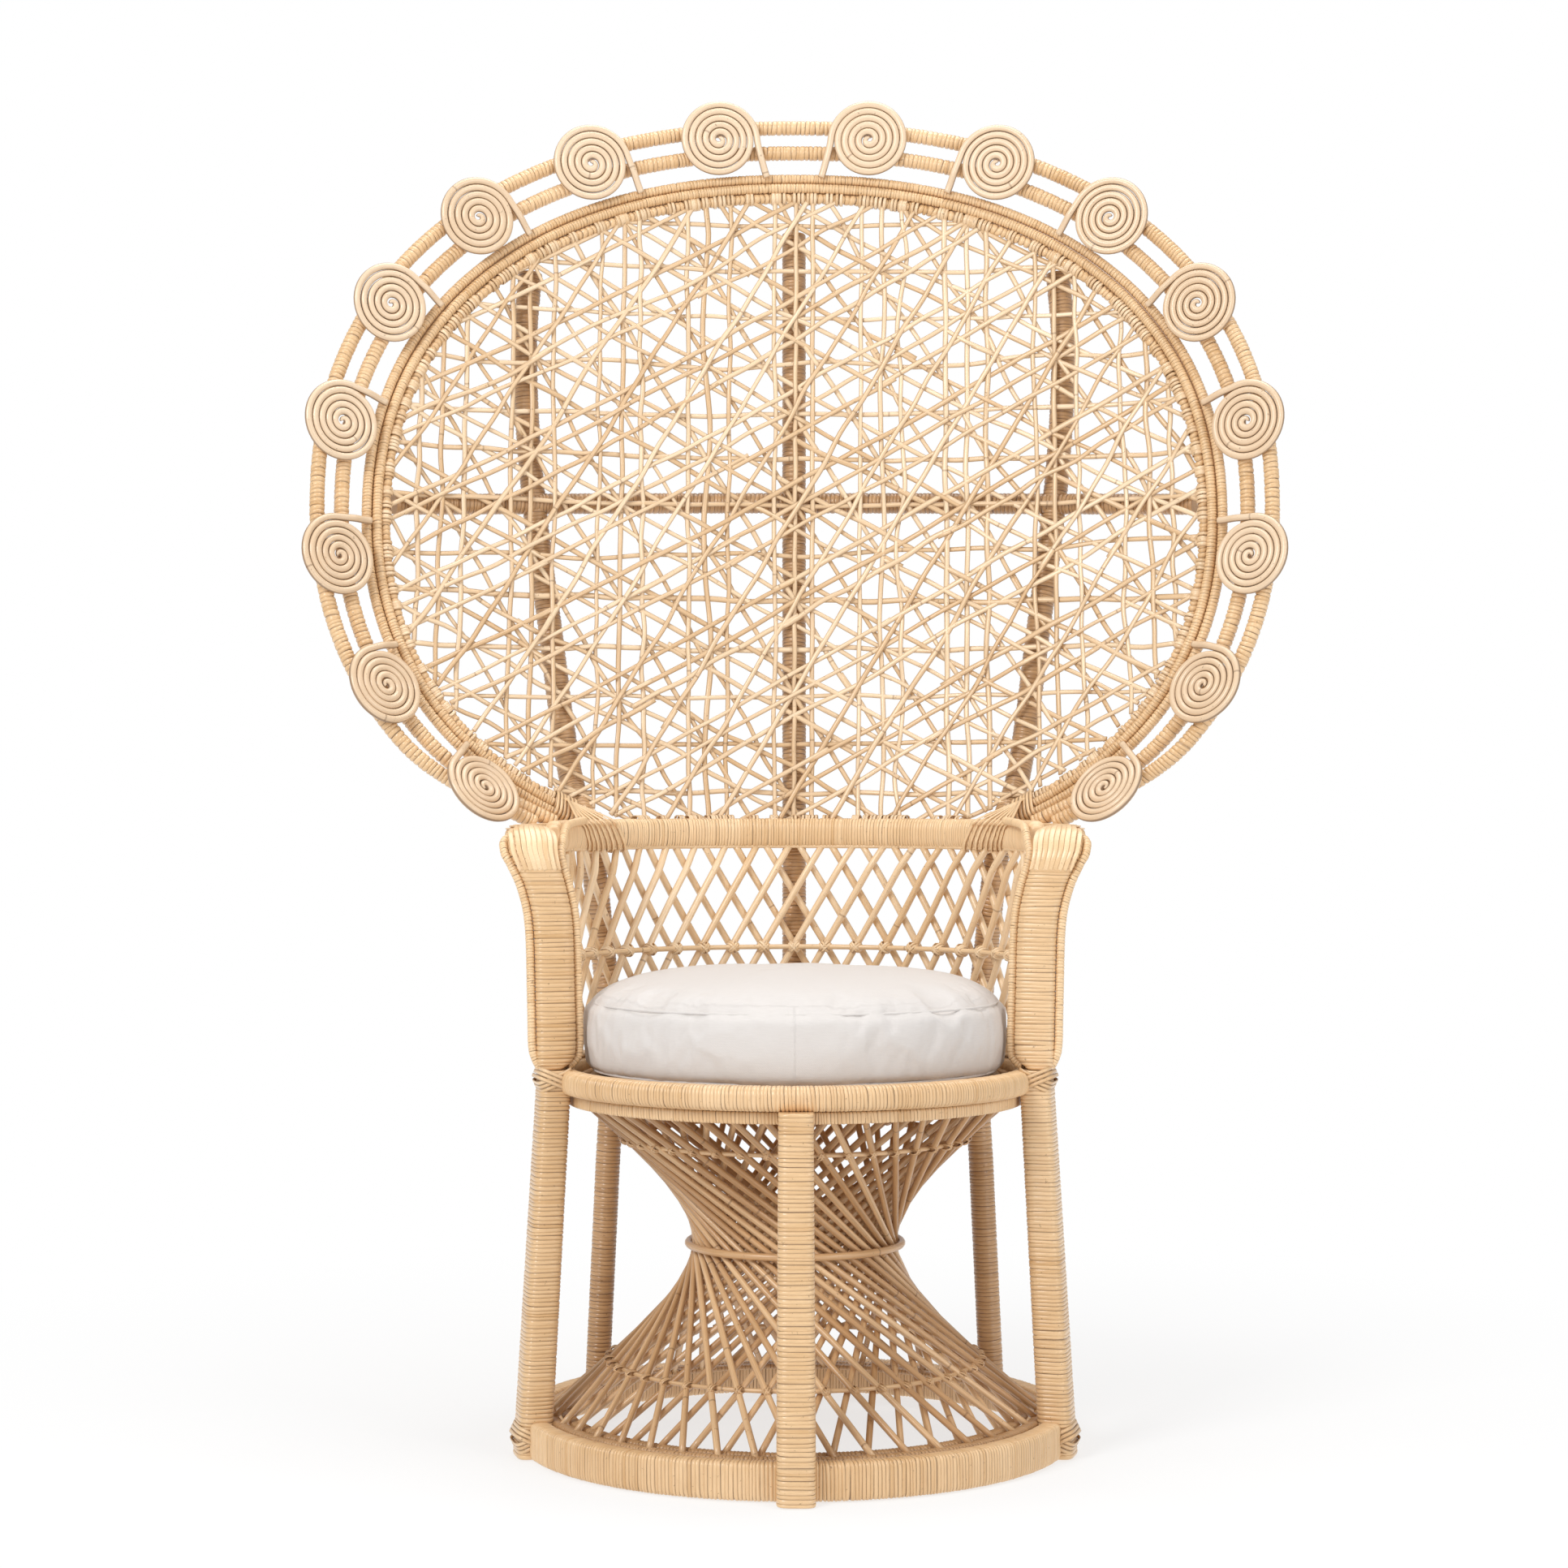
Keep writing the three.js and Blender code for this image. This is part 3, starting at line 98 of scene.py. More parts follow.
def sweep(spots, across, through, a, b, sides, power=2.0, closed=False, lean=0.0, tint=0.0, groove=0.0):
    # point = spot + a u across + b v through + lean way, with |u|^power + |v|^power = 1
    if spots.ndim == 2:
        spots, across, through = spots[None], across[None], through[None]
    many, count = spots.shape[:2]
    u, v = rounded(cornersOf(sides), power)
    a = np.broadcast_to(a, (many, count))[..., None] * u
    b = np.broadcast_to(b, (many, count))[..., None] * v
    way = unit(np.gradient(spots, axis=1))
    points = spots[:, :, None] + a[..., None] * across[:, :, None] + b[..., None] * through[:, :, None]
    points = points + np.broadcast_to(lean, (many, count, sides))[..., None] * way[:, :, None]
    index = np.arange(many * count * sides).reshape(many, count, sides)
    after = np.roll(index, -1, 2)
    if closed:
        low, high = (index, after), (np.roll(index, -1, 1), np.roll(after, -1, 1))
    else:
        low, high = (index[:, :-1], after[:, :-1]), (index[:, 1:], after[:, 1:])
    quads = np.stack([low[0], low[1], high[1], high[0]], -1).reshape(-1, 4)
    caps = [] if closed else [index[:, 0, ::-1], index[:, -1]]
    if np.sum(np.cross(across, through) * way) < 0:
        quads, caps = quads[:, ::-1], [cap[:, ::-1] for cap in caps]
    length = np.broadcast_to(alongOf(spots)[..., None], a.shape)
    # Each point also carries its painted shade: darkening for the grooves between wraps and the flanks where
    # canes touch
    values = {"tint": tint, "groove": groove}
    values = {key: np.broadcast_to(value, a.shape).reshape(-1) for key, value in values.items()}
    values["strip"] = np.stack([length, a, b], -1).reshape(-1, 3)
    return {"points": points.reshape(-1, 3), "quads": quads, "caps": caps, "values": values}


def joined(forms):
    offsets = np.cumsum([0] + [len(form["points"]) for form in forms])
    values = [form["values"] for form in forms]
    return {
        "points": np.concatenate([form["points"] for form in forms]),
        "quads": np.concatenate([form["quads"] + at for form, at in zip(forms, offsets)]),
        "caps": [cap + at for form, at in zip(forms, offsets) for cap in form["caps"]],
        "values": {key: np.concatenate([value[key] for value in values]) for key in values[0]},
    }


def asMade(form):
    return form


def mirrored(form):
    # The form's mirror image in x
    other = dict(form, points=form["points"] * (-1, 1, 1), quads=form["quads"][:, ::-1])
    other["caps"] = [cap[:, ::-1] for cap in form["caps"]]
    return other


bothSides = (("right", asMade), ("left", mirrored))


def inMetres(points):
    return points * 0.001 + chairMiddle


def inMillimetres(mesh):
    spots = np.empty(len(mesh.vertices) * 3)
    mesh.vertices.foreach_get("co", spots)
    return (spots.reshape(-1, 3) - chairMiddle) * 1000


def newObject(name, data):
    thing = bpy.data.objects.new(name, data)
    bpy.context.scene.collection.objects.link(thing)
    return thing


def setValues(mesh, name, values):
    # A number, or a length in each of three directions, for each point
    if values.ndim == 2:
        mesh.attributes.new(name, "FLOAT_VECTOR", "POINT").data.foreach_set("vector", values.ravel() * 0.001)
    else:
        mesh.attributes.new(name, "FLOAT", "POINT").data.foreach_set("value", values)


def addPiece(name, form, material, slot, *replaced, body="chair"):
    points = inMetres(form["points"])
    faces = [form["quads"], *form["caps"]]
    corners = np.concatenate([face.ravel() for face in faces]).astype(np.int32)
    sizes = np.concatenate([np.full(len(face), face.shape[1]) for face in faces])
    mesh = bpy.data.meshes.new(name)
    mesh.vertices.add(len(points))
    mesh.vertices.foreach_set("co", points.ravel())
    mesh.loops.add(len(corners))
    mesh.loops.foreach_set("vertex_index", corners)
    mesh.polygons.add(len(sizes))
    mesh.polygons.foreach_set("loop_start", (np.cumsum(sizes) - sizes).astype(np.int32))
    mesh.update(calc_edges=True)
    mesh.polygons.foreach_set("use_smooth", np.arange(len(sizes)) < len(form["quads"]))
    for key, values in form["values"].items():
        setValues(mesh, key, values)
    mesh.materials.append(material)
    piece = newObject(name, mesh)
    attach(piece, body)
    if replaced:
        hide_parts(*replaced)


def catmull(points, count):
    # Smooth line through points: a Catmull-Rom spline, count samples in all
    points = np.asarray(points, float)
    knots = np.stack([2 * points[0] - points[1], *points, 2 * points[-1] - points[-2]])
    t = np.linspace(0, len(points) - 1, count)
    i = np.minimum(t.astype(int), len(points) - 2)
    f = (t - i).reshape((-1,) + (1,) * (points.ndim - 1))
    p0, p1, p2, p3 = knots[i], knots[i + 1], knots[i + 2], knots[i + 3]
    curve = 2 * p1 + (p2 - p0) * f + (2 * p0 - 5 * p1 + 4 * p2 - p3) * f**2
    return 0.5 * (curve + (3 * p1 - p0 - 3 * p2 + p3) * f**3)


# What wound members share: section, lean of the wraps, length of one strip, one wrap's profile, and the painted
# shade in its grooves
winding = {"power": 2.0, "tilt": 0.12, "sway": 0.10, "strip": 150.0, "uneven": 0.13, "endShade": 0.1}
winding.update(rise=1.2, shares=(0, 0.1, 0.5, 0.9), heights=(-1.0, 0.4, 1, 0.4), grooves=(1.0, 0.15, 0, 0.15))


def wrapped(line, across, through, a, b, look, closed=False):
    # A member wound with split cane: each wrap is a low swelling between two grooves, and its
    # edge leans to and fro round the section
    look = {**winding, **look}
    rng = np.random.default_rng(look["seed"])
    length = alongOf(line)
    total = length[-1]
    count = max(3, int(round(total / look["pitch"])))
    widths = 1 + rng.normal(0, look["uneven"], count).clip(-0.35, 0.35)
    widths *= total / widths.sum()
    starts = np.cumsum(widths) - widths
    at = (starts[:, None] + widths[:, None] * look["shares"]).ravel()
    strength = 1 - 0.35 * rng.random((count, 1))
    rise = (strength * look["heights"] - 1).ravel() * look["swell"] * look["rise"]
    lean = rng.normal(0, look["sway"], (count, 2)) + (look["tilt"], 0)
    lean = np.repeat(lean, 4, 0)
    # Each strip winds on for a while, and the next one has a tone of its own
    strips = rng.random(99)[(starts / look["strip"]).astype(int) % 99]
    tint = 0.10 + 0.48 * strips + 0.32 * rng.random(count) + 0.35 * (rng.random(count) < 0.06)
    tint = np.repeat(tint, 4)
    # Painted shade in the grooves between wraps, darker at some grooves than at others
    depth = 0.55 + 0.45 * rng.random((count, 1)) ** 1.4
    groove = (depth * look["grooves"]).ravel()
    if not closed:
        # The ends are square, with only a little painted shade
        groove[0], lean[0] = look["endShade"], 0
        at, groove = np.append(at, total), np.append(groove, look["endShade"])
        rise, tint = np.append(rise, rise[0]), np.append(tint, tint[-1])
        lean = np.append(lean, np.zeros((1, 2)), 0)
    theta = cornersOf(look["sides"])
    slant = (lean[:, :1] * np.sin(theta) + lean[:, 1:] * np.cos(theta)) * look["pitch"]

    def picked(values):
        columns = np.broadcast_to(values, line.shape).T
        return np.stack([np.interp(at, length, column) for column in columns], -1)

    a, b = (np.interp(at, length, np.broadcast_to(reach, length.shape)) + rise for reach in (a, b))
    return sweep(
        picked(line), unit(picked(across)), unit(picked(through)), a, b,
        look["sides"], look["power"], closed, slant, tint[:, None], groove[:, None],
    )


def wrappedRound(line, toward, look):
    return wrapped(line, *frameOf(line, toward), look["radius"], look["radius"], look)


def canes(spots, toward, a, b, sides, seed, power=2.0, closed=False, flank=0.0):
    # Bare round or flattened canes, each with its own tint and a slightly uneven thickness;
    # the sides take painted shade, where neighbours touch
    rng = np.random.default_rng(seed)
    if spots.ndim == 2:
        spots = spots[None]
    many = len(spots)
    across, through = frameOf(spots, toward)
    phase = rng.random((many, 1)) * 6
    uneven = 1 + 0.035 * np.sin(alongOf(spots) / 31 + phase) + 0.02 * rng.normal(size=(many, 1))
    tint, groove = rng.random((many, 1, 1)), flank * flanksOf(sides)
    return sweep(spots, across, through, a * uneven, b * uneven, sides, power, closed, 0.0, tint, groove)


# What bindings share: turns and their spread, squareness of the loop and of the strip, and unevenness
binding = {"turns": 1, "spread": 0.0, "power": 2.2, "section": 2.6, "steps": 12, "sides": 5, "uneven": 0.15}


def loops(centres, wide, deep, wideReach, deepReach, look):
    # Closed bindings: centre + wideReach cos(t) wide + deepReach sin(t) deep, laid side by side
    look = {**binding, **look}
    rng = np.random.default_rng(look["seed"])
    t = np.linspace(0, 2 * pi, look["steps"], endpoint=False) + pi / look["steps"]
    cos, sin = (wave[:, None] for wave in rounded(t, look["power"]))
    wide, deep = np.broadcast_to(wide, centres.shape), np.broadcast_to(deep, centres.shape)
    side = unit(np.cross(wide, deep))
    wideReach, deepReach = np.reshape(wideReach, (-1, 1, 1)), np.reshape(deepReach, (-1, 1, 1))
    # Painted shade on the edges of each strap, where the turns lie against each other
    groove = 0.12 + 0.36 * flanksOf(look["sides"])
    forms = []
    for turn in range(look["turns"]):
        shift = (turn - (look["turns"] - 1) / 2) * look["spread"]
        middle = centres + side * (shift + rng.normal(0, look["uneven"], (len(centres), 1)) * look["width"])
        spots = middle[:, None] + wideReach * cos * wide[:, None] + deepReach * sin * deep[:, None]
        out = unit(cos * wide[:, None] * deepReach + sin * deep[:, None] * wideReach)
        across = np.broadcast_to(side[:, None], spots.shape)
        tint = rng.random((len(centres), 1, 1))
        section = look["width"], look["thick"], look["sides"], look["section"]
        forms.append(sweep(spots, across, out, *section, True, 0.0, tint, groove))
    return joined(forms)


# Shared shader groups, each with named inputs; they give out colours, values and normals only

socketKinds = {1: "NodeSocketFloat", 3: "NodeSocketVector", 4: "NodeSocketColor"}


def newGroup(name, inputs, outputs):
    # Inputs by their first values, outputs by how many numbers they carry
    tree = bpy.data.node_groups.new(name, "ShaderNodeTree")
    for label, value in inputs.items():
        kind = socketKinds[np.size(value)]
        tree.interface.new_socket(label, in_out="INPUT", socket_type=kind).default_value = value
    for label, size in outputs.items():
        tree.interface.new_socket(label, in_out="OUTPUT", socket_type=socketKinds[size])
    return tree, tree.nodes.new("NodeGroupInput").outputs, tree.nodes.new("NodeGroupOutput")


def feed(tree, made, values):
    # Each socket takes a link or a plain value
    for key, value in values.items():
        if isinstance(value, bpy.types.NodeSocket):
            tree.links.new(value, made.inputs[key])
        else:
            made.inputs[key].default_value = value


def node(tree, kind, values, **fields):
    made = tree.nodes.new(kind)
    for key, value in fields.items():
        setattr(made, key, value)
    feed(tree, made, values)
    return made


def math(tree, operation, first, second=0.0, third=0.0, clamp=False):
    values = {0: first, 1: second, 2: third}
    return node(tree, "ShaderNodeMath", values, operation=operation, use_clamp=clamp).outputs[0]


def mixColour(tree, share, first, second):
    return node(tree, "ShaderNodeMix", {0: share, 6: first, 7: second}, data_type="RGBA").outputs[2]


def attribute(tree, name, output="Fac"):
    fields = {"attribute_name": name, "attribute_type": "GEOMETRY"}
    return node(tree, "ShaderNodeAttribute", {}, **fields).outputs[output]


def smoothRange(tree, value, low, high, outLow=0.0, outHigh=1.0):
    values = {"Value": value, "From Min": low, "From Max": high, "To Min": outLow, "To Max": outHigh}
    return node(tree, "ShaderNodeMapRange", values, interpolation_type="SMOOTHSTEP").outputs[0]


def scaledNoise(tree, vector, scale, detail=3.0, roughness=0.55):
    moved = node(tree, "ShaderNodeMapping", {"Vector": vector, "Scale": scale}).outputs[0]
    values = {"Vector": moved, "Scale": 1.0, "Detail": detail, "Roughness": roughness}
    return node(tree, "ShaderNodeTexNoise", values).outputs[0]


def caneGroup():
    # Skin of cane: fibre streaks that run along the strip, blotches, joints, painted shade in the grooves and
    # on the flanks, and dust
    inputs = {"Light": (0.8, 0.6, 0.4, 1), "Deep": (0.6, 0.4, 0.2, 1), "Gap": (0.1, 0.05, 0.02, 1)}
    inputs.update({"Streak scale": (60, 2500, 2500), "Joint spacing": 0.3, "Streak depth": 0.3})
    tree, given, outside = newGroup("cane_skin", inputs, {"Colour": 4, "Roughness": 1, "Height": 1})
    calc, mix, noise = partial(math, tree), partial(mixColour, tree), partial(scaledNoise, tree)
    strip = attribute(tree, "strip", "Vector")
    tint, groove = attribute(tree, "tint"), attribute(tree, "groove")
    place = node(tree, "ShaderNodeTexCoord", {}).outputs["Object"]
    offset = node(tree, "ShaderNodeCombineXYZ", {"X": calc("MULTIPLY", tint, 3.7)}).outputs[0]
    along = node(tree, "ShaderNodeVectorMath", {0: strip, 1: offset}, operation="ADD").outputs[0]
    streak = noise(along, given["Streak scale"], 4.0, 0.62)
    fine = smoothRange(tree, streak, 0.32, 0.68)
    blotch = noise(place, (23, 23, 23), 2.0)
    patch = noise(place, (7, 7, 7), 1.0)
    share = calc("MULTIPLY_ADD", tint, 0.75, calc("MULTIPLY", blotch, 0.45))
    share = calc("ADD", share, calc("MULTIPLY_ADD", patch, 0.5, -0.42), clamp=True)
    base = mix(share, given["Light"], given["Deep"])
    dark = calc("MULTIPLY", given["Streak depth"], calc("SUBTRACT", 1.0, fine))
    base = mix(dark, base, mix(0.55, given["Deep"], given["Gap"]))
    # A joint: a thin ring across the cane at a spacing of its own
    run = node(tree, "ShaderNodeSeparateXYZ", {0: along}).outputs[0]
    cycle = calc("FRACT", calc("DIVIDE", run, given["Joint spacing"]))
    near = calc("MULTIPLY", calc("ABSOLUTE", calc("SUBTRACT", cycle, 0.5)), given["Joint spacing"])
    ring = calc("SUBTRACT", 1.0, smoothRange(tree, near, 0.0004, 0.0016))
    base = mix(calc("MULTIPLY", ring, 0.45), base, given["Gap"])
    # Painted shade: the higher the value set in the grooves and on the flanks, the nearer the colour comes to
    # the Gap tone
    shadeMask = smoothRange(tree, groove, 0.12, 0.95)
    base = mix(calc("MULTIPLY", shadeMask, 0.88), base, given["Gap"])
    speck = noise(place, (210, 210, 210), 2.0, 0.7)
    spot = calc("SUBTRACT", 1.0, smoothRange(tree, speck, 0.25, 0.33))
    base = mix(calc("MULTIPLY", spot, 0.5), base, given["Gap"])
    rough = calc("MULTIPLY_ADD", shadeMask, 0.3, calc("MULTIPLY_ADD", streak, 0.22, 0.24))
    height = calc("MULTIPLY_ADD", ring, 0.8, streak)
    feed(tree, outside, {"Colour": base, "Roughness": rough, "Height": height})
    return tree


def clothGroup():
    # Plain weave: two sets of threads at right angles, uneven in thickness, with small slubs
    inputs = {"Light": (0.9, 0.88, 0.85, 1), "Shade": (0.75, 0.72, 0.68, 1), "Threads per metre": 900.0}
    tree, given, outside = newGroup("plain_weave", inputs, {"Colour": 4, "Height": 1})
    calc = partial(math, tree)
    strip = attribute(tree, "strip", "Vector")
    wobble = node(tree, "ShaderNodeTexNoise", {"Vector": strip, "Scale": 160.0, "Detail": 2.0}).outputs[0]
    x, y, _ = node(tree, "ShaderNodeSeparateXYZ", {0: strip}).outputs
    turns = calc("MULTIPLY", given["Threads per metre"], 2 * pi)
    shift = calc("MULTIPLY", wobble, 5.0)
    warp = calc("SINE", calc("MULTIPLY_ADD", x, turns, shift))
    weft = calc("SINE", calc("MULTIPLY_ADD", y, turns, shift))
    cross = calc("MULTIPLY_ADD", calc("MULTIPLY", warp, weft), 0.5, 0.5)
    slub = scaledNoise(tree, strip, (90, 700, 90), 3.0, 0.6)
    share = calc("MULTIPLY_ADD", slub, 0.5, calc("MULTIPLY", cross, 0.4), clamp=True)
    colour = mixColour(tree, share, given["Shade"], given["Light"])
    feed(tree, outside, {"Colour": colour, "Height": calc("MULTIPLY_ADD", slub, 0.8, cross)})
    return tree


caneSkin = caneGroup()
plainWeave = clothGroup()


def newMaterial(name):
    material = bpy.data.materials.new(name)
    material.use_nodes = True
    return material, material.node_tree, material.node_tree.nodes["Principled BSDF"]


def caneMaterial(name, light, deep, gap, streaks, joint, depth, bump):
    material, tree, shader = newMaterial(name)
    given = {"Light": (*light, 1), "Deep": (*deep, 1), "Gap": (*gap, 1), "Streak scale": streaks}
    given.update({"Joint spacing": joint, "Streak depth": depth})
    skin = node(tree, "ShaderNodeGroup", given, node_tree=caneSkin).outputs
    relief = node(tree, "ShaderNodeBump", {"Strength": 0.5, "Distance": bump, "Height": skin["Height"]})
    feed(tree, shader, {
        "Base Color": skin["Colour"], "Roughness": skin["Roughness"], "Normal": relief.outputs[0],
        "Specular IOR Level": 0.42, "Coat Weight": 0.42, "Coat Roughness": 0.17,
    })
    return material


# Cane finishes: light and deep tone, dark tone of the joints, specks and painted groove shade, scale of the
# streaks (fine across the fibres), spacing of the joints, depth of the streaks and of the bump
wrapCane = caneMaterial(
    "wrap_cane", (0.93, 0.665, 0.395), (0.68, 0.415, 0.19), (0.13, 0.055, 0.02),
    (1150, 60, 60), 9.0, 0.22, 0.0004,
)
bandCane = caneMaterial(
    "band_cane", (0.99, 0.735, 0.455), (0.77, 0.50, 0.25), (0.13, 0.055, 0.02),
    (1150, 60, 60), 9.0, 0.22, 0.0004,
)
shadeCane = caneMaterial(
    "shade_cane", (0.66, 0.405, 0.205), (0.43, 0.235, 0.10), (0.09, 0.036, 0.014),
    (1150, 60, 60), 9.0, 0.28, 0.0004,
)
# The rod cane's tone is made darker with painted shade, for the hourglass under the seat
rodCane = caneMaterial(
    "rod_cane", (0.85, 0.575, 0.32), (0.52, 0.28, 0.115), (0.12, 0.05, 0.02),
    (22, 1100, 1100), 0.29, 0.32, 0.00035,
)
# A lighter copy of the rod cane: painted light against the shade that falls on the low back's rods
litRodCane = caneMaterial(
    "lit_rod_cane", (0.98, 0.77, 0.52), (0.79, 0.53, 0.28), (0.16, 0.07, 0.028),
    (22, 1100, 1100), 0.33, 0.28, 0.00035,
)
paleCane = caneMaterial(
    "pale_cane", (0.85, 0.665, 0.47), (0.73, 0.525, 0.335), (0.16, 0.075, 0.03),
    (16, 1300, 1300), 0.71, 0.26, 0.0003,
)
netCane = caneMaterial(
    "net_cane", (0.98, 0.765, 0.52), (0.71, 0.46, 0.235), (0.15, 0.065, 0.025),
    (20, 1500, 1500), 0.37, 0.32, 0.0003,
)


def linenMaterial():
    material, tree, shader = newMaterial("linen_cloth")
    given = {"Light": (0.785, 0.75, 0.725, 1), "Shade": (0.64, 0.60, 0.57, 1), "Threads per metre": 800.0}
    weave = node(tree, "ShaderNodeGroup", given, node_tree=plainWeave).outputs
    relief = node(tree, "ShaderNodeBump", {"Strength": 0.45, "Distance": 0.0005, "Height": weave["Height"]})
    feed(tree, shader, {
        "Base Color": weave["Colour"], "Normal": relief.outputs[0],
        "Roughness": 0.88, "Sheen Weight": 0.25, "Sheen Roughness": 0.5,
    })
    return material


linen = linenMaterial()
print("materials made")


# Hoops of the base and the seat, and the thin band under the seat

baseHoop = {"radius": 286, "middle": 20, "wall": 12, "half": 20, "pitch": 3.9, "swell": 0.75}
baseHoop.update(sides=22, power=5.0, seed=11)
seatHoop = {"radius": 250.5, "middle": 397.5, "wall": 13.5, "half": 13.5, "pitch": 3.75, "swell": 0.7}
seatHoop.update(sides=18, power=2.7, seed=12)
seatBand = {"radius": 245.8, "middle": 377.2, "wall": 1.9, "half": 6.6, "pitch": 3.75, "swell": 0.4}
seatBand.update(sides=10, power=4.0, seed=13)


def turnedLine(radius, height, samples=400):
    angle = np.linspace(0, 2 * pi, samples)
    return polar(radius, angle, height), polar(1, angle)


def wrappedRing(hoop, samples=400):
    line, outward = turnedLine(hoop["radius"], hoop["middle"], samples)
    return wrapped(line, outward, up, hoop["wall"], hoop["half"], hoop, True)


addPiece("wrapped_base_hoop", wrappedRing(baseHoop), wrapCane, "cane", "base_hoop")
addPiece("wrapped_seat_hoop", wrappedRing(seatHoop), wrapCane, "cane", "seat_hoop")
addPiece("wrapped_seat_band", wrappedRing(seatBand), wrapCane, "cane")
print("hoops made")


# Hourglass: two layers of straight rods, three rings tied over them, and the rings at their ends

hourglass = {"count": 42, "radius": 3.55, "foot": 265.7, "top": 239.5, "layer": 18, "low": 40, "high": 376.7}
hourglass.update(outerTwist=np.radians(129), innerTwist=np.radians(130))
# The rods' sides get painted shade where neighbours touch
hourglass.update(sides=10, samples=34, past=4, bow=0.5, flank=0.4)
endRing = {"gap": 3.5, "wall": 6.8, "half": 3.4, "pitch": 4.2, "swell": 0.5, "sides": 10, "power": 3.0}
tieRings = {
    "smooth_waist_ring": {"height": 217, "radius": 4.0, "side": 1, "seed": 31, "node": "waist_ring"},
    "tied_lower_ring": {"height": 92, "radius": 2.5, "side": -1, "seed": 34, "node": "lower_tie_ring"},
    "tied_upper_ring": {"height": 332, "radius": 2.5, "side": -1, "seed": 37, "node": "upper_tie_ring"},
}
rodKnot = {"slack": 1.0, "depth": 0.7, "width": 1.15, "thick": 0.5, "turns": 2, "spread": 2.2, "power": 2.3}
rodTurns = np.arange(hourglass["count"]) / hourglass["count"] * 2 * pi


def rodLayer(foot, top, twist, seed):
    # spot = low + (high - low) t, with a slight bow of its own
    rng = np.random.default_rng(seed)
    low = polar(foot, rodTurns, hourglass["low"] - hourglass["past"])[:, None]
    high = polar(top, rodTurns + twist, hourglass["high"] + hourglass["past"])[:, None]
    t = np.linspace(0, 1, hourglass["samples"])[:, None]
    bow = rng.normal(0, hourglass["bow"], (hourglass["count"], 1, 3)) * np.sin(pi * t)
    spots, thick = low + (high - low) * t + bow, hourglass["radius"]
    return canes(spots, unit(low * (1, 1, 0)), thick, thick, hourglass["sides"], seed, flank=hourglass["flank"])


def endRings(foot, top, seed):
    ends = (foot, hourglass["low"] - endRing["gap"]), (top, hourglass["high"] + endRing["gap"])
    return joined([wrappedRing(dict(endRing, radius=r, middle=z, seed=seed), 200) for r, z in ends])


outer = hourglass["foot"], hourglass["top"], hourglass["outerTwist"]
inner = outer[0] - hourglass["layer"], outer[1] - hourglass["layer"], -hourglass["innerTwist"]
outerNodes = [f"hourglass_outer_rods_{i}" for i in range(1, 7)]
layers = ("outer", outer, outerNodes, 21), ("inner", inner, ["hourglass_inner_rods"], 22)
for name, (foot, top, twist), nodes, seed in layers:
    addPiece(f"hourglass_{name}_canes", rodLayer(foot, top, twist, seed), rodCane, "rod_cane", *nodes)
    addPiece(f"hourglass_{name}_end_rings", endRings(foot, top, seed), shadeCane, "rod_cane")


def rodCrossing(height):
    # Where the outer rods are at a height: their bearings, radius and directions
    t = (height - hourglass["low"]) / (hourglass["high"] - hourglass["low"])
    low, high = polar(outer[0], 0.0, hourglass["low"]), polar(outer[1], outer[2], hourglass["high"])
    spot, way = low + (high - low) * t, unit(high - low)
    cos, sin = np.cos(rodTurns), np.sin(rodTurns)
    ways = np.stack([way[0] * cos + way[1] * sin, way[1] * cos - way[0] * sin, 0 * cos + way[2]], -1)
    return np.arctan2(spot[0], spot[1]) + rodTurns, np.hypot(spot[0], spot[1]), ways


def tieRing(ring):
    # A ring outside the outer rods (side 1), or inside them (-1) with a small cane knot on each rod
    bearing, reach, ways = rodCrossing(ring["height"])
    radius, rod = ring["radius"], hourglass["radius"]
    line, _ = turnedLine(reach + ring["side"] * (rod + radius + 0.15), ring["height"], 241)
    forms = [canes(line[:-1], up, radius, radius, 10, ring["seed"], closed=True)]
    out, centre = polar(1.0, bearing), polar(reach - radius, bearing, ring["height"])
    for slant in (1, -1) if ring["side"] < 0 else ():
        wide = unit(np.cross(out, unit(ways + slant * np.cross(out, up))))
        look = dict(rodKnot, seed=ring["seed"] + slant)
        forms.append(loops(centre, wide, out, rod + rodKnot["slack"], rod + radius + rodKnot["depth"], look))
    return joined(forms)


for name, ring in tieRings.items():
    addPiece(name, tieRing(ring), rodCane, "rod_cane", ring["node"])
print("hourglass made")


# Legs, with crossed bindings (height, slant in degrees) on the side legs

legs = {"pitch": 4.3, "swell": 0.6, "sides": 24, "power": 4.0, "tilt": 0.05, "strip": 210.0}
frontLeg = dict(legs, seed=41, angle=pi, foot=305, top=264.5, width=38, depth=34, height=385)
sideLeg = dict(legs, angle=np.radians(105), foot=290, top=266, width=46, depth=36, height=410.6)
sideLeg["bindings"] = [(21, 25), (401, 23)]
legStrap = {"width": 2.2, "thick": 0.75, "turns": 3, "spread": 4.5, "power": 4.5, "steps": 36, "sides": 6}


def legFrame(leg, height):
    # The leg's middle, width direction, outward direction and half sizes at a height
    t = height / leg["height"]
    spots = polar(leg["foot"] + (leg["top"] - leg["foot"]) * t, leg["angle"], height)
    across, taper = np.array((np.cos(leg["angle"]), -np.sin(leg["angle"]), 0.0)), 1.06 - 0.1 * t
    return spots, across, polar(1.0, leg["angle"]), leg["width"] / 2 * taper, leg["depth"] / 2 * taper


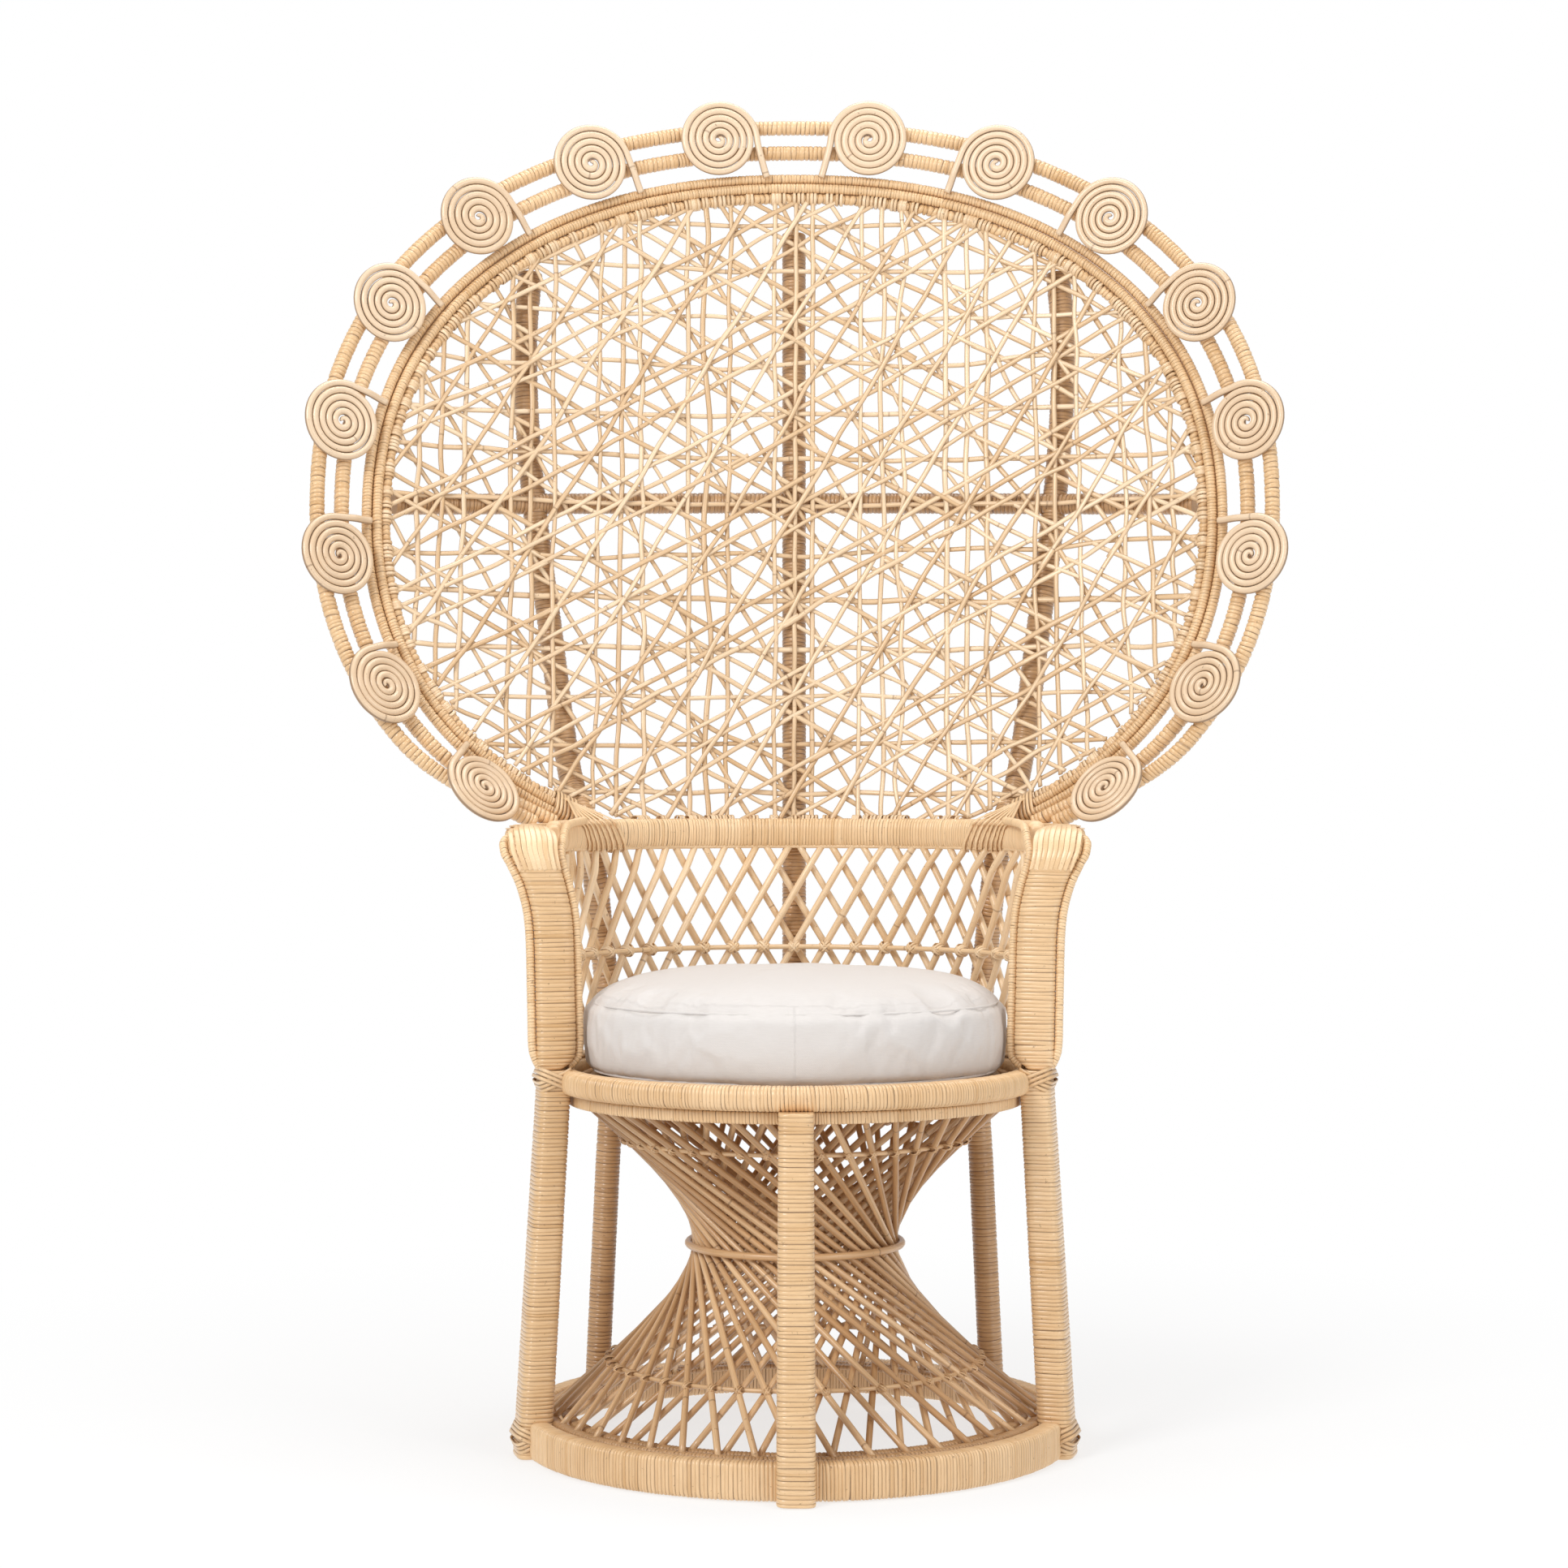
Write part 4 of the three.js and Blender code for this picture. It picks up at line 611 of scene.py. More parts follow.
def crossedStraps(leg, height, slant, seed):
    # Two sets of straps, wound aslant round the leg so that they cross on its front and rear faces
    spots, across, through, wide, thick = legFrame(leg, np.array([height]))
    forms = []
    for way, lift in ((1, 1.15), (-1, 0.35)):
        tilt = way * np.radians(slant)
        deep = through * np.cos(tilt) + up * np.sin(tilt)
        reach = thick / np.cos(tilt) + 0.5 + lift
        forms.append(loops(spots, across, deep, wide + 0.5 + lift, reach, dict(legStrap, seed=seed + way)))
    return joined(forms)


def wrappedLeg(leg):
    return wrapped(*legFrame(leg, np.linspace(0.9, leg["height"], 60)), leg)


for (side, turned), seed in zip(bothSides, (42, 43)):
    straps = [crossedStraps(sideLeg, height, slant, seed + 7) for height, slant in sideLeg["bindings"]]
    form = wrappedLeg(dict(sideLeg, seed=seed))
    addPiece(f"wrapped_{side}_leg", turned(form), wrapCane, "cane", f"{side}_front_leg")
    addPiece(f"{side}_leg_straps", turned(joined(straps)), wrapCane, "cane")
addPiece("wrapped_front_leg", wrappedLeg(frontLeg), wrapCane, "cane", "front_leg")


# The fan's face and rim, by the same rules as the solids

fan = {"halfWidth": 475, "halfHeight": 398, "centre": 1030, "foot": 675, "fullness": 2.2}
fan.update(depth=270, rake=np.radians(6), footCurve=330, topCurve=900, rise=220)


def fanPoint(x, z):
    # y = depth + (z - foot) tan(rake) - R + sqrt(R^2 - x^2), with R(z) rising from footCurve to topCurve
    x, z = np.broadcast_arrays(np.asarray(x, float), np.asarray(z, float))
    above = z - fan["foot"]
    curve = fan["footCurve"] + (fan["topCurve"] - fan["footCurve"]) * (1 - np.exp(-above / fan["rise"]))
    reach = np.minimum(np.abs(x), curve * 0.99)
    y = fan["depth"] + above * np.tan(fan["rake"]) - curve + np.sqrt(curve**2 - reach**2)
    return np.stack([x, y, z], -1)


def fanNormal(x, z):
    along = fanPoint(x + 1.0, z) - fanPoint(x - 1.0, z)
    return unit(np.cross(along, fanPoint(x, z + 1.0) - fanPoint(x, z - 1.0)))


def onFan(x, z, lift):
    return fanPoint(x, z) + fanNormal(x, z) * np.asarray(lift, float)[..., None]


def rimOutline(turn):
    # x = W sin^(2/p), z = C + H cos^(2/p): the turn runs from the top, to the right
    cos, sin = rounded(turn, fan["fullness"])
    return fan["halfWidth"] * sin, fan["centre"] + fan["halfHeight"] * cos


def rimFrame(turn):
    x, z = rimOutline(turn)
    normal = fanNormal(x, z)
    before, after = rimOutline(turn - 0.005), rimOutline(turn + 0.005)
    along = unit(fanPoint(*after) - fanPoint(*before))
    return fanPoint(x, z), along, unit(np.cross(normal, along)), normal


def rimSpot(turn, offset, lift=0.0):
    here, _, outward, normal = rimFrame(turn)
    return here + outward * np.asarray(offset, float)[..., None] + normal * np.asarray(lift, float)[..., None]


def hoopTurns(offset, radius, height):
    # Turns of a hoop whose round ends come down just over a height, and the last turn
    turn = np.linspace(pi / 2, pi * 0.99, 4000)
    _, _, outward, normal = rimFrame(turn)
    lowest = rimSpot(turn, offset)[:, 2] - radius * np.hypot(outward[:, 2], normal[:, 2])
    end = turn[np.argmax(lowest < height)]
    return np.linspace(-end, end, 500), end


def hoopLine(rim):
    # The hoop's line at its own offset, gathered to the foot's offset near both ends
    turn, end = hoopTurns(rim["foot"], rim["radius"], rim["height"])
    gather = eased((np.abs(turn) / end - 0.86) / 0.14)
    _, _, outward, normal = rimFrame(turn)
    return rimSpot(turn, rim["offset"] + (rim["foot"] - rim["offset"]) * gather, rim["lift"]), outward, normal


rimHoop = {"radius": 5.9, "lift": 0, "height": 669.0, "swell": 0.5, "sides": 12, "node": "fan_rim_{}_hoop"}
outerHoop = {"radius": 8.9, "lift": 0, "height": 663.5, "swell": 0.8, "sides": 14, "node": "outer_hoop_{}"}
rims = {
    "outer": dict(rimHoop, offset=12, foot=12, pitch=3.9, seed=51),
    "middle": dict(rimHoop, offset=0, foot=0, lift=2.75, pitch=3.6, seed=52),
    "binding": dict(rimHoop, offset=-12, foot=-12, radius=6.6, pitch=6.2, swell=1.2, tilt=0.28, seed=53),
    "near": dict(outerHoop, offset=44, foot=29, pitch=5.2, seed=54),
    "far": dict(outerHoop, offset=75, foot=47, pitch=5.2, seed=55),
}
# A dark strip laid behind the fan hoops: painted shade that shows through the gaps between them
hoopShadeStrip = {"radius": 5.6, "height": 678.0, "offset": 1, "lift": -0.5, "half": 12.0, "thick": 0.7, "seed": 57}
hoopLines = {}
for name, rim in rims.items():
    hoopLines[name], outward, normal = hoopLine(rim)
    form = wrapped(hoopLines[name], outward, normal, rim["radius"], rim["radius"], rim)
    addPiece(f"wrapped_{name}_fan_hoop", form, wrapCane, "cane", rim["node"].format(name))
turns, _ = hoopTurns(0, hoopShadeStrip["radius"], hoopShadeStrip["height"])
spots, normal = rimSpot(turns, hoopShadeStrip["offset"], hoopShadeStrip["lift"]), fanNormal(*rimOutline(turns))
form = canes(spots, normal, hoopShadeStrip["half"], hoopShadeStrip["thick"], 8, hoopShadeStrip["seed"], 3.0)
addPiece("fan_hoop_shade_strip", form, shadeCane, "cane")
print("legs and fan hoops made")


# Coil discs: a flat spiral each, with a straight tail down to the rim

disc = {"perSide": 8, "turns": 5.25, "core": 4.03, "pitch": 8.27, "eye": 1.8, "offset": 59.5, "topGap": 182}
disc.update(spacing=161, reach=45.5, bend=(-14.0, -0.6, 0), tailLift=5.6, samples=48, sides=12)
# Painted shade on the coil's sides, between its turns
disc.update(flank=0.72, seed=61)


def discTurns():
    turn = np.linspace(0, pi * 0.95, 6000)
    travelled = alongOf(rimSpot(turn, disc["offset"]))
    return np.interp(disc["topGap"] / 2 + np.arange(disc["perSide"]) * disc["spacing"], travelled, turn)


def discSpots(turn):
    # Spiral r = eye + pitch t, its last turn running off as a tail over the near hoop to the rim
    _, along, outward, normal = rimFrame(turn)
    middle = rimSpot(turn, disc["offset"])
    hoopRadius = outerHoop["radius"]
    rise = 0.0
    for name in ("near", "far"):
        away = hoopLines[name] - middle
        lift = away @ normal
        flat = np.linalg.norm(away - lift[:, None] * normal, axis=1)
        rise = max(rise, lift[flat < disc["reach"] + hoopRadius].max())
    middle = middle + normal * (rise + hoopRadius + disc["core"] + 0.1)
    t = np.linspace(0, disc["turns"], int(disc["turns"] * disc["samples"]))
    angle = pi / 2 + (t - disc["turns"]) * 2 * pi
    radius = disc["eye"] + disc["pitch"] * t
    flat = np.stack([radius * np.cos(angle), radius * np.sin(angle), 0 * t], -1)
    foot = rimSpot(turn - disc["reach"] / fan["halfWidth"], rims["outer"]["offset"])
    axes = np.stack([outward, -along, normal])
    end = axes @ (foot + normal * (disc["tailLift"] + disc["core"]) - middle)
    # The tail bends out of the spiral and comes down on the rim toward its end
    s = np.linspace(0, 1, 26)[1:, None]
    tail = (1 - s) ** 2 * flat[-1] + 2 * s * (1 - s) * (flat[-1] + disc["bend"]) + s**2 * (end * (1, 1, 0))
    tail[:, 2] = end[2] * eased((s[:, 0] - 0.55) / 0.45)
    return middle + np.concatenate([flat, tail]) @ axes, normal


for number, turn in enumerate(discTurns(), 1):
    spots, normal = discSpots(turn)
    thick = disc["core"] * np.minimum(1, 0.5 + alongOf(spots) / 24)
    for side, turned in bothSides:
        seed = disc["seed"] + number * 2 + (side == "left")
        form = canes(spots, normal, thick, thick, disc["sides"], seed, flank=disc["flank"])
        cadNode = f"{side}_disc_{number}"
        addPiece(f"coiled_{cadNode}", turned(form), paleCane, "pale_cane", cadNode)
print("discs made")


# Fan net: upright, level, shallow and steep strands that cross in stars

net = {"column": 102, "row": 56.6, "start": 1044, "side": 24.5, "shallowSide": 26, "inset": 12.5}
# Painted shade on the edges of each strand
net.update(width=3.15, thick=1.3, sides=6, flank=0.5, step=9.0, shortest=60, reach=1300.0, wander=1.6, seed=71)
net["lifts"] = (1.4, -0.2, 2.1, 0.6, 3.4, -0.9)  # how far each family stands before the fan's face
net["waves"] = (260.0, 140.0, 75.0)
endTie = {"width": 2.0, "thick": 0.6, "seed": 77, "turns": 2, "spread": 4.6, "power": 2.0, "steps": 14}
footTie = {"width": 1.7, "thick": 0.6, "seed": 78, "turns": 2, "spread": 3.9, "power": 2.4}


def insideRim(x, z, offset):
    # Inside the rim's middle line drawn in by an offset, and above the band
    w, h, p = fan["halfWidth"] - offset, fan["halfHeight"] - offset, fan["fullness"]
    return (np.abs(x / w) ** p + np.abs((z - fan["centre"]) / h) ** p < 1) & (z > fan["foot"] - 11)


def strandLines():
    # Straight strands of six families, each a little off its mark and bearing, cut at the rim
    rng = np.random.default_rng(net["seed"])
    column, row, start = net["column"], net["row"], net["start"]
    steep, shallow = np.arctan2(3 * row, column), np.arctan2(row, column)
    threes = (-1, 0, 1)
    uprights = [(i * column + s * net["side"], start) for i in range(-5, 6) for s in threes]
    levels = [(0.0, start + i * row) for i in range(-8, 8)]
    shallows = [(0.0, start + 2 * i * row + s * net["shallowSide"]) for i in range(-9, 10) for s in threes]
    steeps = [(i * column * 2 / 3, start) for i in range(-14, 15)]
    families = (pi / 2, uprights), (0.0, levels), (shallow, shallows), (-shallow, shallows)
    lines = []
    for family, (angle, marks) in enumerate([*families, (steep, steeps), (-steep, steeps)]):
        for mark in marks:
            bearing = angle + rng.normal(0, 0.008)
            way = np.array((np.cos(bearing), np.sin(bearing)))
            middle = np.array(mark) + rng.normal(0, 1.5, 2)
            t = np.arange(-net["reach"], net["reach"], 1.0)
            t = t[insideRim(*(middle + t[:, None] * way).T, net["inset"])]
            if len(t) >= net["shortest"]:
                t = np.linspace(t[0], t[-1], int(len(t) / net["step"]) + 2)
                lines.append((family, middle + t[:, None] * way, way))
    return lines


def netForm():
    # Each strand wanders a little in the net and in depth, and settles on the rim at both ends
    rng = np.random.default_rng(net["seed"] + 1)
    forms, ends = [], []
    for family, flat, way in strandLines():
        length = len(flat) * net["step"]
        t = np.linspace(0, length, len(flat))
        toEnd = np.minimum(t, length - t)
        square = np.array((-way[1], way[0]))
        wander = np.zeros(len(flat))
        for wave in net["waves"]:
            size = rng.normal(0, net["wander"] * wave / net["waves"][0])
            wander += size * np.sin(t / wave * 2 * pi + rng.random() * 6)
        flat = flat + (wander * np.clip(toEnd / 40, 0, 1))[:, None] * square
        easing = np.clip(toEnd / 30, 0, 1)
        lift = net["lifts"][family] + 1.3 * np.sin(t / 51 * pi + family * 1.3 + rng.random() * 1.5)
        lift = lift * easing + (1 - easing) * 3.0
        # Slanting strands are pieced: some break off where the next one starts beside them
        cuts = [0, len(flat)]
        if family > 1 and len(flat) > 34:
            for spot in np.arange(20, len(flat) - 16, 23):
                if rng.random() < 0.42:
                    cuts.insert(-1, int(spot + rng.integers(-5, 6)))
        for first, last in zip(cuts[:-1], cuts[1:]):
            low, high = max(0, first - 2), min(len(flat), last + 2)
            aside = rng.normal(0, 1.3) if len(cuts) > 2 else 0.0
            x, z = (flat[low:high] + square * aside).T
            spots = onFan(x, z, lift[low:high] + (0.5 if aside else 0.0))
            wide = net["width"] * (1 + rng.normal(0, 0.07))
            look = {"sides": net["sides"], "seed": int(rng.integers(1 << 30)), "flank": net["flank"]}
            forms.append(canes(spots, fanNormal(x, z), wide, net["thick"], **look))
        ends += [flat[0], flat[-1]]
    return joined(forms), np.array(ends)


def edgeLoops():
    # Every strand is turned round the binding hoop, with two loops side by side
    turn = np.linspace(-rimEnd, rimEnd, 3000)
    line = rimSpot(turn, rims["binding"]["offset"])
    away = strandEnds[:, None] - line[None, :, [0, 2]]
    nearest = np.argmin((away**2).sum(-1), 1)
    nearest = nearest[np.abs(turn[nearest]) < rimEnd * 0.995]
    _, _, outward, normal = rimFrame(turn[nearest])
    return loops(line[nearest], outward, normal, 7.3, 7.2, endTie)


def footLoops():
    # Where a strand comes down to the low back's band, it is tied to the band's upper edge
    low = strandEnds[(strandEnds[:, 1] < fan["foot"] + 4) & (np.abs(strandEnds[:, 0]) < 200)]
    angle = np.arcsin(low[:, 0] / 269)
    return loops(polar(266.0, angle, 672.5), up, polar(1.0, angle), 6.2, 8.0, footTie)


form, strandEnds = netForm()
_, rimEnd = hoopTurns(rims["binding"]["offset"], 6.4, 672.0)
addPiece("star_weave", form, netCane, "pale_cane", "fan_net")
addPiece("strand_end_loops", edgeLoops(), netCane, "pale_cane")
addPiece("strand_foot_loops", footLoops(), netCane, "pale_cane")
print("net made")


# Posts and brace behind the fan; reaches and levels are those of the foot, the seat and the band

post = {"radius": 14.5, "pitch": 4.6, "swell": 0.6, "sides": 16, "tilt": 0.05, "gap": 6.3}
post.update(reaches=(303, 278.8, 287.8), levels=(0, 411, 675), centreHeights=(1030.0, 1378.0))
sidePost = {"lowWidth": 262, "lowSpreads": (0.87, 0.845, 0.82, 0.798, 0.84, 0.893)}
sidePost.update(lowHeights=(0, 0.2, 0.4, 0.594, 0.79, 0.965))
sidePost.update(highHeights=(0.507, 0.56, 0.62, 0.715, 0.8, 0.87, 0.925))
sidePost.update(highSpreads=(0.519, 0.552, 0.579, 0.62, 0.645, 0.652, 0.642))
brace = {"radius": 12.5, "pitch": 4.9, "swell": 0.6, "sides": 16, "tilt": 0.05, "seed": 85}
brace.update(inset=24, height=1051, sag=13, gap=3.1)
postLift = -(post["gap"] + post["radius"])


def sidePostLine():
    # Up from the floor behind the seat and the band, then up the fan's rear face
    z = np.array(sidePost["lowHeights"]) * post["levels"][-1]
    x = np.array(sidePost["lowSpreads"]) * sidePost["lowWidth"]
    low = np.stack([x, np.sqrt(np.interp(z, post["levels"], post["reaches"]) ** 2 - x**2), z], -1)
    x = np.array(sidePost["highSpreads"]) * fan["halfWidth"]
    z = np.array(sidePost["highHeights"]) * (fan["centre"] + fan["halfHeight"])
    return catmull(np.concatenate([low, onFan(x, z, postLift)]), 300)


def centrePostLine():
    high = onFan(0.0, np.array(post["centreHeights"]), postLift)
    return catmull(np.concatenate([polar(post["reaches"], 0, post["levels"]), high]), 300)


def wrappedPost(line, seed):
    line[:, 2] = np.maximum(line[:, 2], 0.4)
    return wrappedRound(line, (0, 1, 0), dict(post, seed=seed))


for (side, turned), seed in zip(bothSides, (81, 82)):
    form = turned(wrappedPost(sidePostLine(), seed))
    addPiece(f"wrapped_{side}_post", form, shadeCane, "shaded_cane", f"{side}_back_post")
form = wrappedPost(centrePostLine(), 83)
addPiece("wrapped_centre_post", form, shadeCane, "shaded_cane", "centre_back_post")

share = np.linspace(-1, 1, 300)
x, z = share * (fan["halfWidth"] - brace["inset"]), brace["height"] - brace["sag"] * share**2
line = onFan(x, z, -(brace["gap"] + brace["radius"]))
addPiece("wrapped_brace", wrappedRound(line, up, brace), shadeCane, "shaded_cane", "back_brace")
print("posts and brace made")


# Low back: the band, two layers of slanting rods and the tied hoop

band = {"radius": 262, "wall": 11.2, "half": 17.8, "middle": 657.5, "end": np.radians(93.5), "pitch": 3.7}
band.update(swell=0.6, sides=22, power=2.7, seed=91, tilt=0.06, strip=120.0, narrow=0.62)
angle = np.linspace(-band["end"], band["end"], 300)
line = polar(band["radius"], angle, band["middle"])
fromEnd = band["radius"] * (band["end"] - np.abs(angle))
narrow = band["narrow"] + (1 - band["narrow"]) * np.sqrt(np.clip(fromEnd / 14, 0, 1))
form = wrapped(line, polar(1.0, angle), up, band["wall"] * narrow, band["half"] * narrow, band)
addPiece("wrapped_band", form, bandCane, "cane", "low_back_band")

# A strap's course round the band: out from its inner face, bearing past the foot, height, and which
# way the strap's own lift goes in each
junction = {"straps": 8, "high": np.radians(66.5), "low": np.radians(50.5), "seed": 93}
junction.update(width=2.2, thick=0.6)
junction["course"] = [
    (3.5, 0.085, 17.4, 0, 1),
    (0, 0.052, 9.5, -1, 0),
    (-0.4, 0.026, 0, -1, 0),
    (0, 0.004, -9.5, -1, 0),
    (4.0, -0.02, -17.2, 0, -1),
    (14.0, -0.03, -17.6, 0, -1),
]
junctionTie = {"width": 2.2, "thick": 0.6, "seed": 94, "power": 3.2, "steps": 32, "sides": 6}


def junctionStraps():
    # Straps that fan out from the rim's foot, over the band's top and down its front to its underside
    rng = np.random.default_rng(junction["seed"])
    inner, middle = band["radius"] - band["wall"], band["middle"]
    out, bearing, height, outLift, upLift = np.array(junction["course"]).T
    forms = []
    for number in range(junction["straps"]):
        foot = junction["high"] + (junction["low"] - junction["high"]) * number / (junction["straps"] - 1)
        lift = 0.7 + 0.35 * (number % 2)
        start = rimSpot(rimEnd * (0.968 - 0.0015 * number), -18.5 + 0.9 * number, 6.0)
        rows = polar(inner + out + lift * outLift, foot + bearing, middle + height + lift * upLift)
        spots = catmull(np.vstack([start, rows]) + rng.normal(0, 0.25, (7, 3)), 60)
        toward = unit(spots * (-1, -1, 0)) + np.clip(spots[:, 2:] - middle - 10, 0, 12) * (0, 0, 0.2)
        width, thick = junction["width"], junction["thick"]
        forms.append(canes(spots, unit(toward), width, thick, 6, junction["seed"] + number, 2.6))
    # Six turns bind the rim's foot where the straps start
    turn = rimEnd * np.linspace(0.976, 0.957, 6)
    _, _, outward, normal = rimFrame(turn)
    forms.append(loops(rimSpot(turn, -0.5, 1.4), outward, normal, 19.8, 8.6, junctionTie))
    return joined(forms)


straps = junctionStraps()
for side, turned in bothSides:
    addPiece(f"{side}_junction_straps", turned(straps), bandCane, "cane")

lattice = {"pitch": np.radians(8.4), "twist": np.radians(31), "outer": 260, "inner": 250.1, "radius": 4.0}
lattice.update(tuck=258.5, low=411.5, high=639.5, end=np.radians(105 - 4.5), sides=10, samples=26)
backHoop = {"height": 525.5, "reach": 243.1, "radius": 3.0, "sides": 10, "seed": 101}
latticeKnot = {"width": 1.6, "thick": 0.55, "turns": 2, "spread": 2.8, "power": 2.3}
latticeArc = np.linspace(-lattice["end"], lattice["end"], 160)


def latticeLayer(radius, slant, seed):
    # Rods on a cylinder: angle = start + twist t, z = low + (high - low) t, cut at the end uprights
    rng = np.random.default_rng(seed)
    end, twist, bottom, top = (lattice[key] for key in ("end", "twist", "low", "high"))
    count = int((end + twist / 2) / lattice["pitch"])
    starts = np.arange(-count, count + 1) * lattice["pitch"] - twist / 2
    low, high = np.clip((-end - starts) / twist, 0, 1), np.clip((end - starts) / twist, 0, 1)
    keep = high - low > 0.12
    starts, low, high = starts[keep, None], low[keep, None], high[keep, None]
    t = low + (high - low) * np.linspace(0, 1, lattice["samples"])
    angle = slant * (starts + twist * t) + rng.normal(0, 0.002, starts.shape)
    height = bottom + (top + 3.5 - bottom) * t
    # The tops draw in under the band's middle
    drawn = (lattice["tuck"] - radius) * np.clip((height - 612) / 28, 0, 1) ** 1.5
    spots = polar(radius + drawn, angle, height)
    forms = [canes(spots, polar(1.0, angle), lattice["radius"], lattice["radius"], lattice["sides"], seed)]
    for reach, level in ((radius, bottom + 2.4), (lattice["tuck"], top + 3.0)):
        forms.append(canes(polar(reach, latticeArc, level), up, 4.1, 2.5, 8, seed + 1, 3.0))
    for bearing in (-end, end):
        upright = polar(radius, bearing, np.linspace(bottom, top, 12))
        forms.append(canes(upright, polar(1.0, bearing), 3.6, 3.6, 10, seed + 2))
    return joined(forms)


def latticeTie():
    # The hoop across the rods, with a crossed knot at each meeting of the two layers
    height, reach, radius = backHoop["height"], backHoop["reach"], backHoop["radius"]
    forms = [canes(polar(reach, latticeArc, height), up, radius, radius, backHoop["sides"], backHoop["seed"])]
    count = int(lattice["end"] / lattice["pitch"])
    at = np.arange(-count, count + 1) * lattice["pitch"]
    inward = -polar(1.0, at)
    for slant in (1, -1):
        wide = unit(np.cross(inward, up) + slant * up)
        look = dict(latticeKnot, seed=backHoop["seed"] + 1 + slant)
        forms.append(loops(polar(reach + 4.0, at, height), wide, inward, 7.5, 8.0, look))
    return joined(forms)


outerNodes = [f"low_back_outer_rods_{i}" for i in (1, 2, 3)]
form = latticeLayer(lattice["outer"], -1, 95)
addPiece("low_back_outer_canes", form, litRodCane, "rod_cane", *outerNodes)
form = latticeLayer(lattice["inner"], 1, 98)
addPiece("low_back_inner_canes", form, litRodCane, "rod_cane", "low_back_inner_rods")
addPiece("tied_low_back_hoop", latticeTie(), litRodCane, "rod_cane", "low_back_tie_hoop")
print("low back made")


# Arms: stations with the section's directions and width, from the seat up and back along the band

arm = {"angle": np.radians(105), "radius": 264.5, "flare": 24, "bottom": 411.3, "top": 668, "thick": 25}
arm.update(bend=26, width=43, rest=40, restRadius=294.7, restEnd=np.radians(61))
arm.update(samples=280, strips=9, stripThick=0.7)
arm.update(pitch=4.5, swell=0.5, sides=26, power=3.4, tilt=0.03, strip=130.0)
arm["rises"] = (0, 0.04, 0.1, 0.35, 0.7, 0.88, 1)
arm["flares"] = (0, 0, 0, 0.04, 0.14, 0.45, 0.85)
arm["widths"] = (0.66, 0.9, 1, 1, 1, 1.03, 1.12)
cord = {"radius": 4.7, "pitch": 3.1, "swell": 0.3, "sides": 12, "tilt": 0.2, "strip": 60.0}
cord["over"] = (250, 246.5, 246, 248), np.radians((98, 88, 78, 69)), (666, 671, 673, 675)


def armStations():
    radial = polar(1.0, arm["angle"])
    back = np.array((-radial[1], radial[0], 0.0))
    turn = arm["top"] - arm["thick"] / 2 - arm["bend"]
    rows = []
    for rise, flare, width in zip(arm["rises"], arm["flares"], arm["widths"]):
        # The inner lower corner is drawn in; the outer edge stays upright
        shift = max(0, 1 - width) * arm["width"] / 2
        middle = radial * (arm["radius"] + shift + arm["flare"] * flare)
        middle = middle + up * (arm["bottom"] + (turn - arm["bottom"]) * rise)
        rows.append((middle, radial, -back, arm["width"] * width))
    for step, width in ((1, 1.2), (2, 1.24), (3, 1.2)):
        bent = step / 4 * pi / 2
        middle = radial * (arm["radius"] + arm["flare"]) + up * (turn + arm["bend"] * np.sin(bent))
        middle = middle + back * arm["bend"] * (1 - np.cos(bent))
        rows.append((middle, radial, -back * np.cos(bent) + up * np.sin(bent), arm["width"] * width))
    start = arm["angle"] - arm["bend"] / arm["radius"]
    for share in (0, 0.12, 0.34, 0.56, 0.78, 1):
        at = start + (arm["restEnd"] - start) * share
        radius, width = arm["radius"] + arm["flare"], arm["width"]
        if share:
            radius, width = arm["restRadius"], arm["rest"]
        rows.append((polar(radius, at, arm["top"] - arm["thick"] / 2), polar(1.0, at), up, width))
    return [np.array(column, float) for column in zip(*rows)]


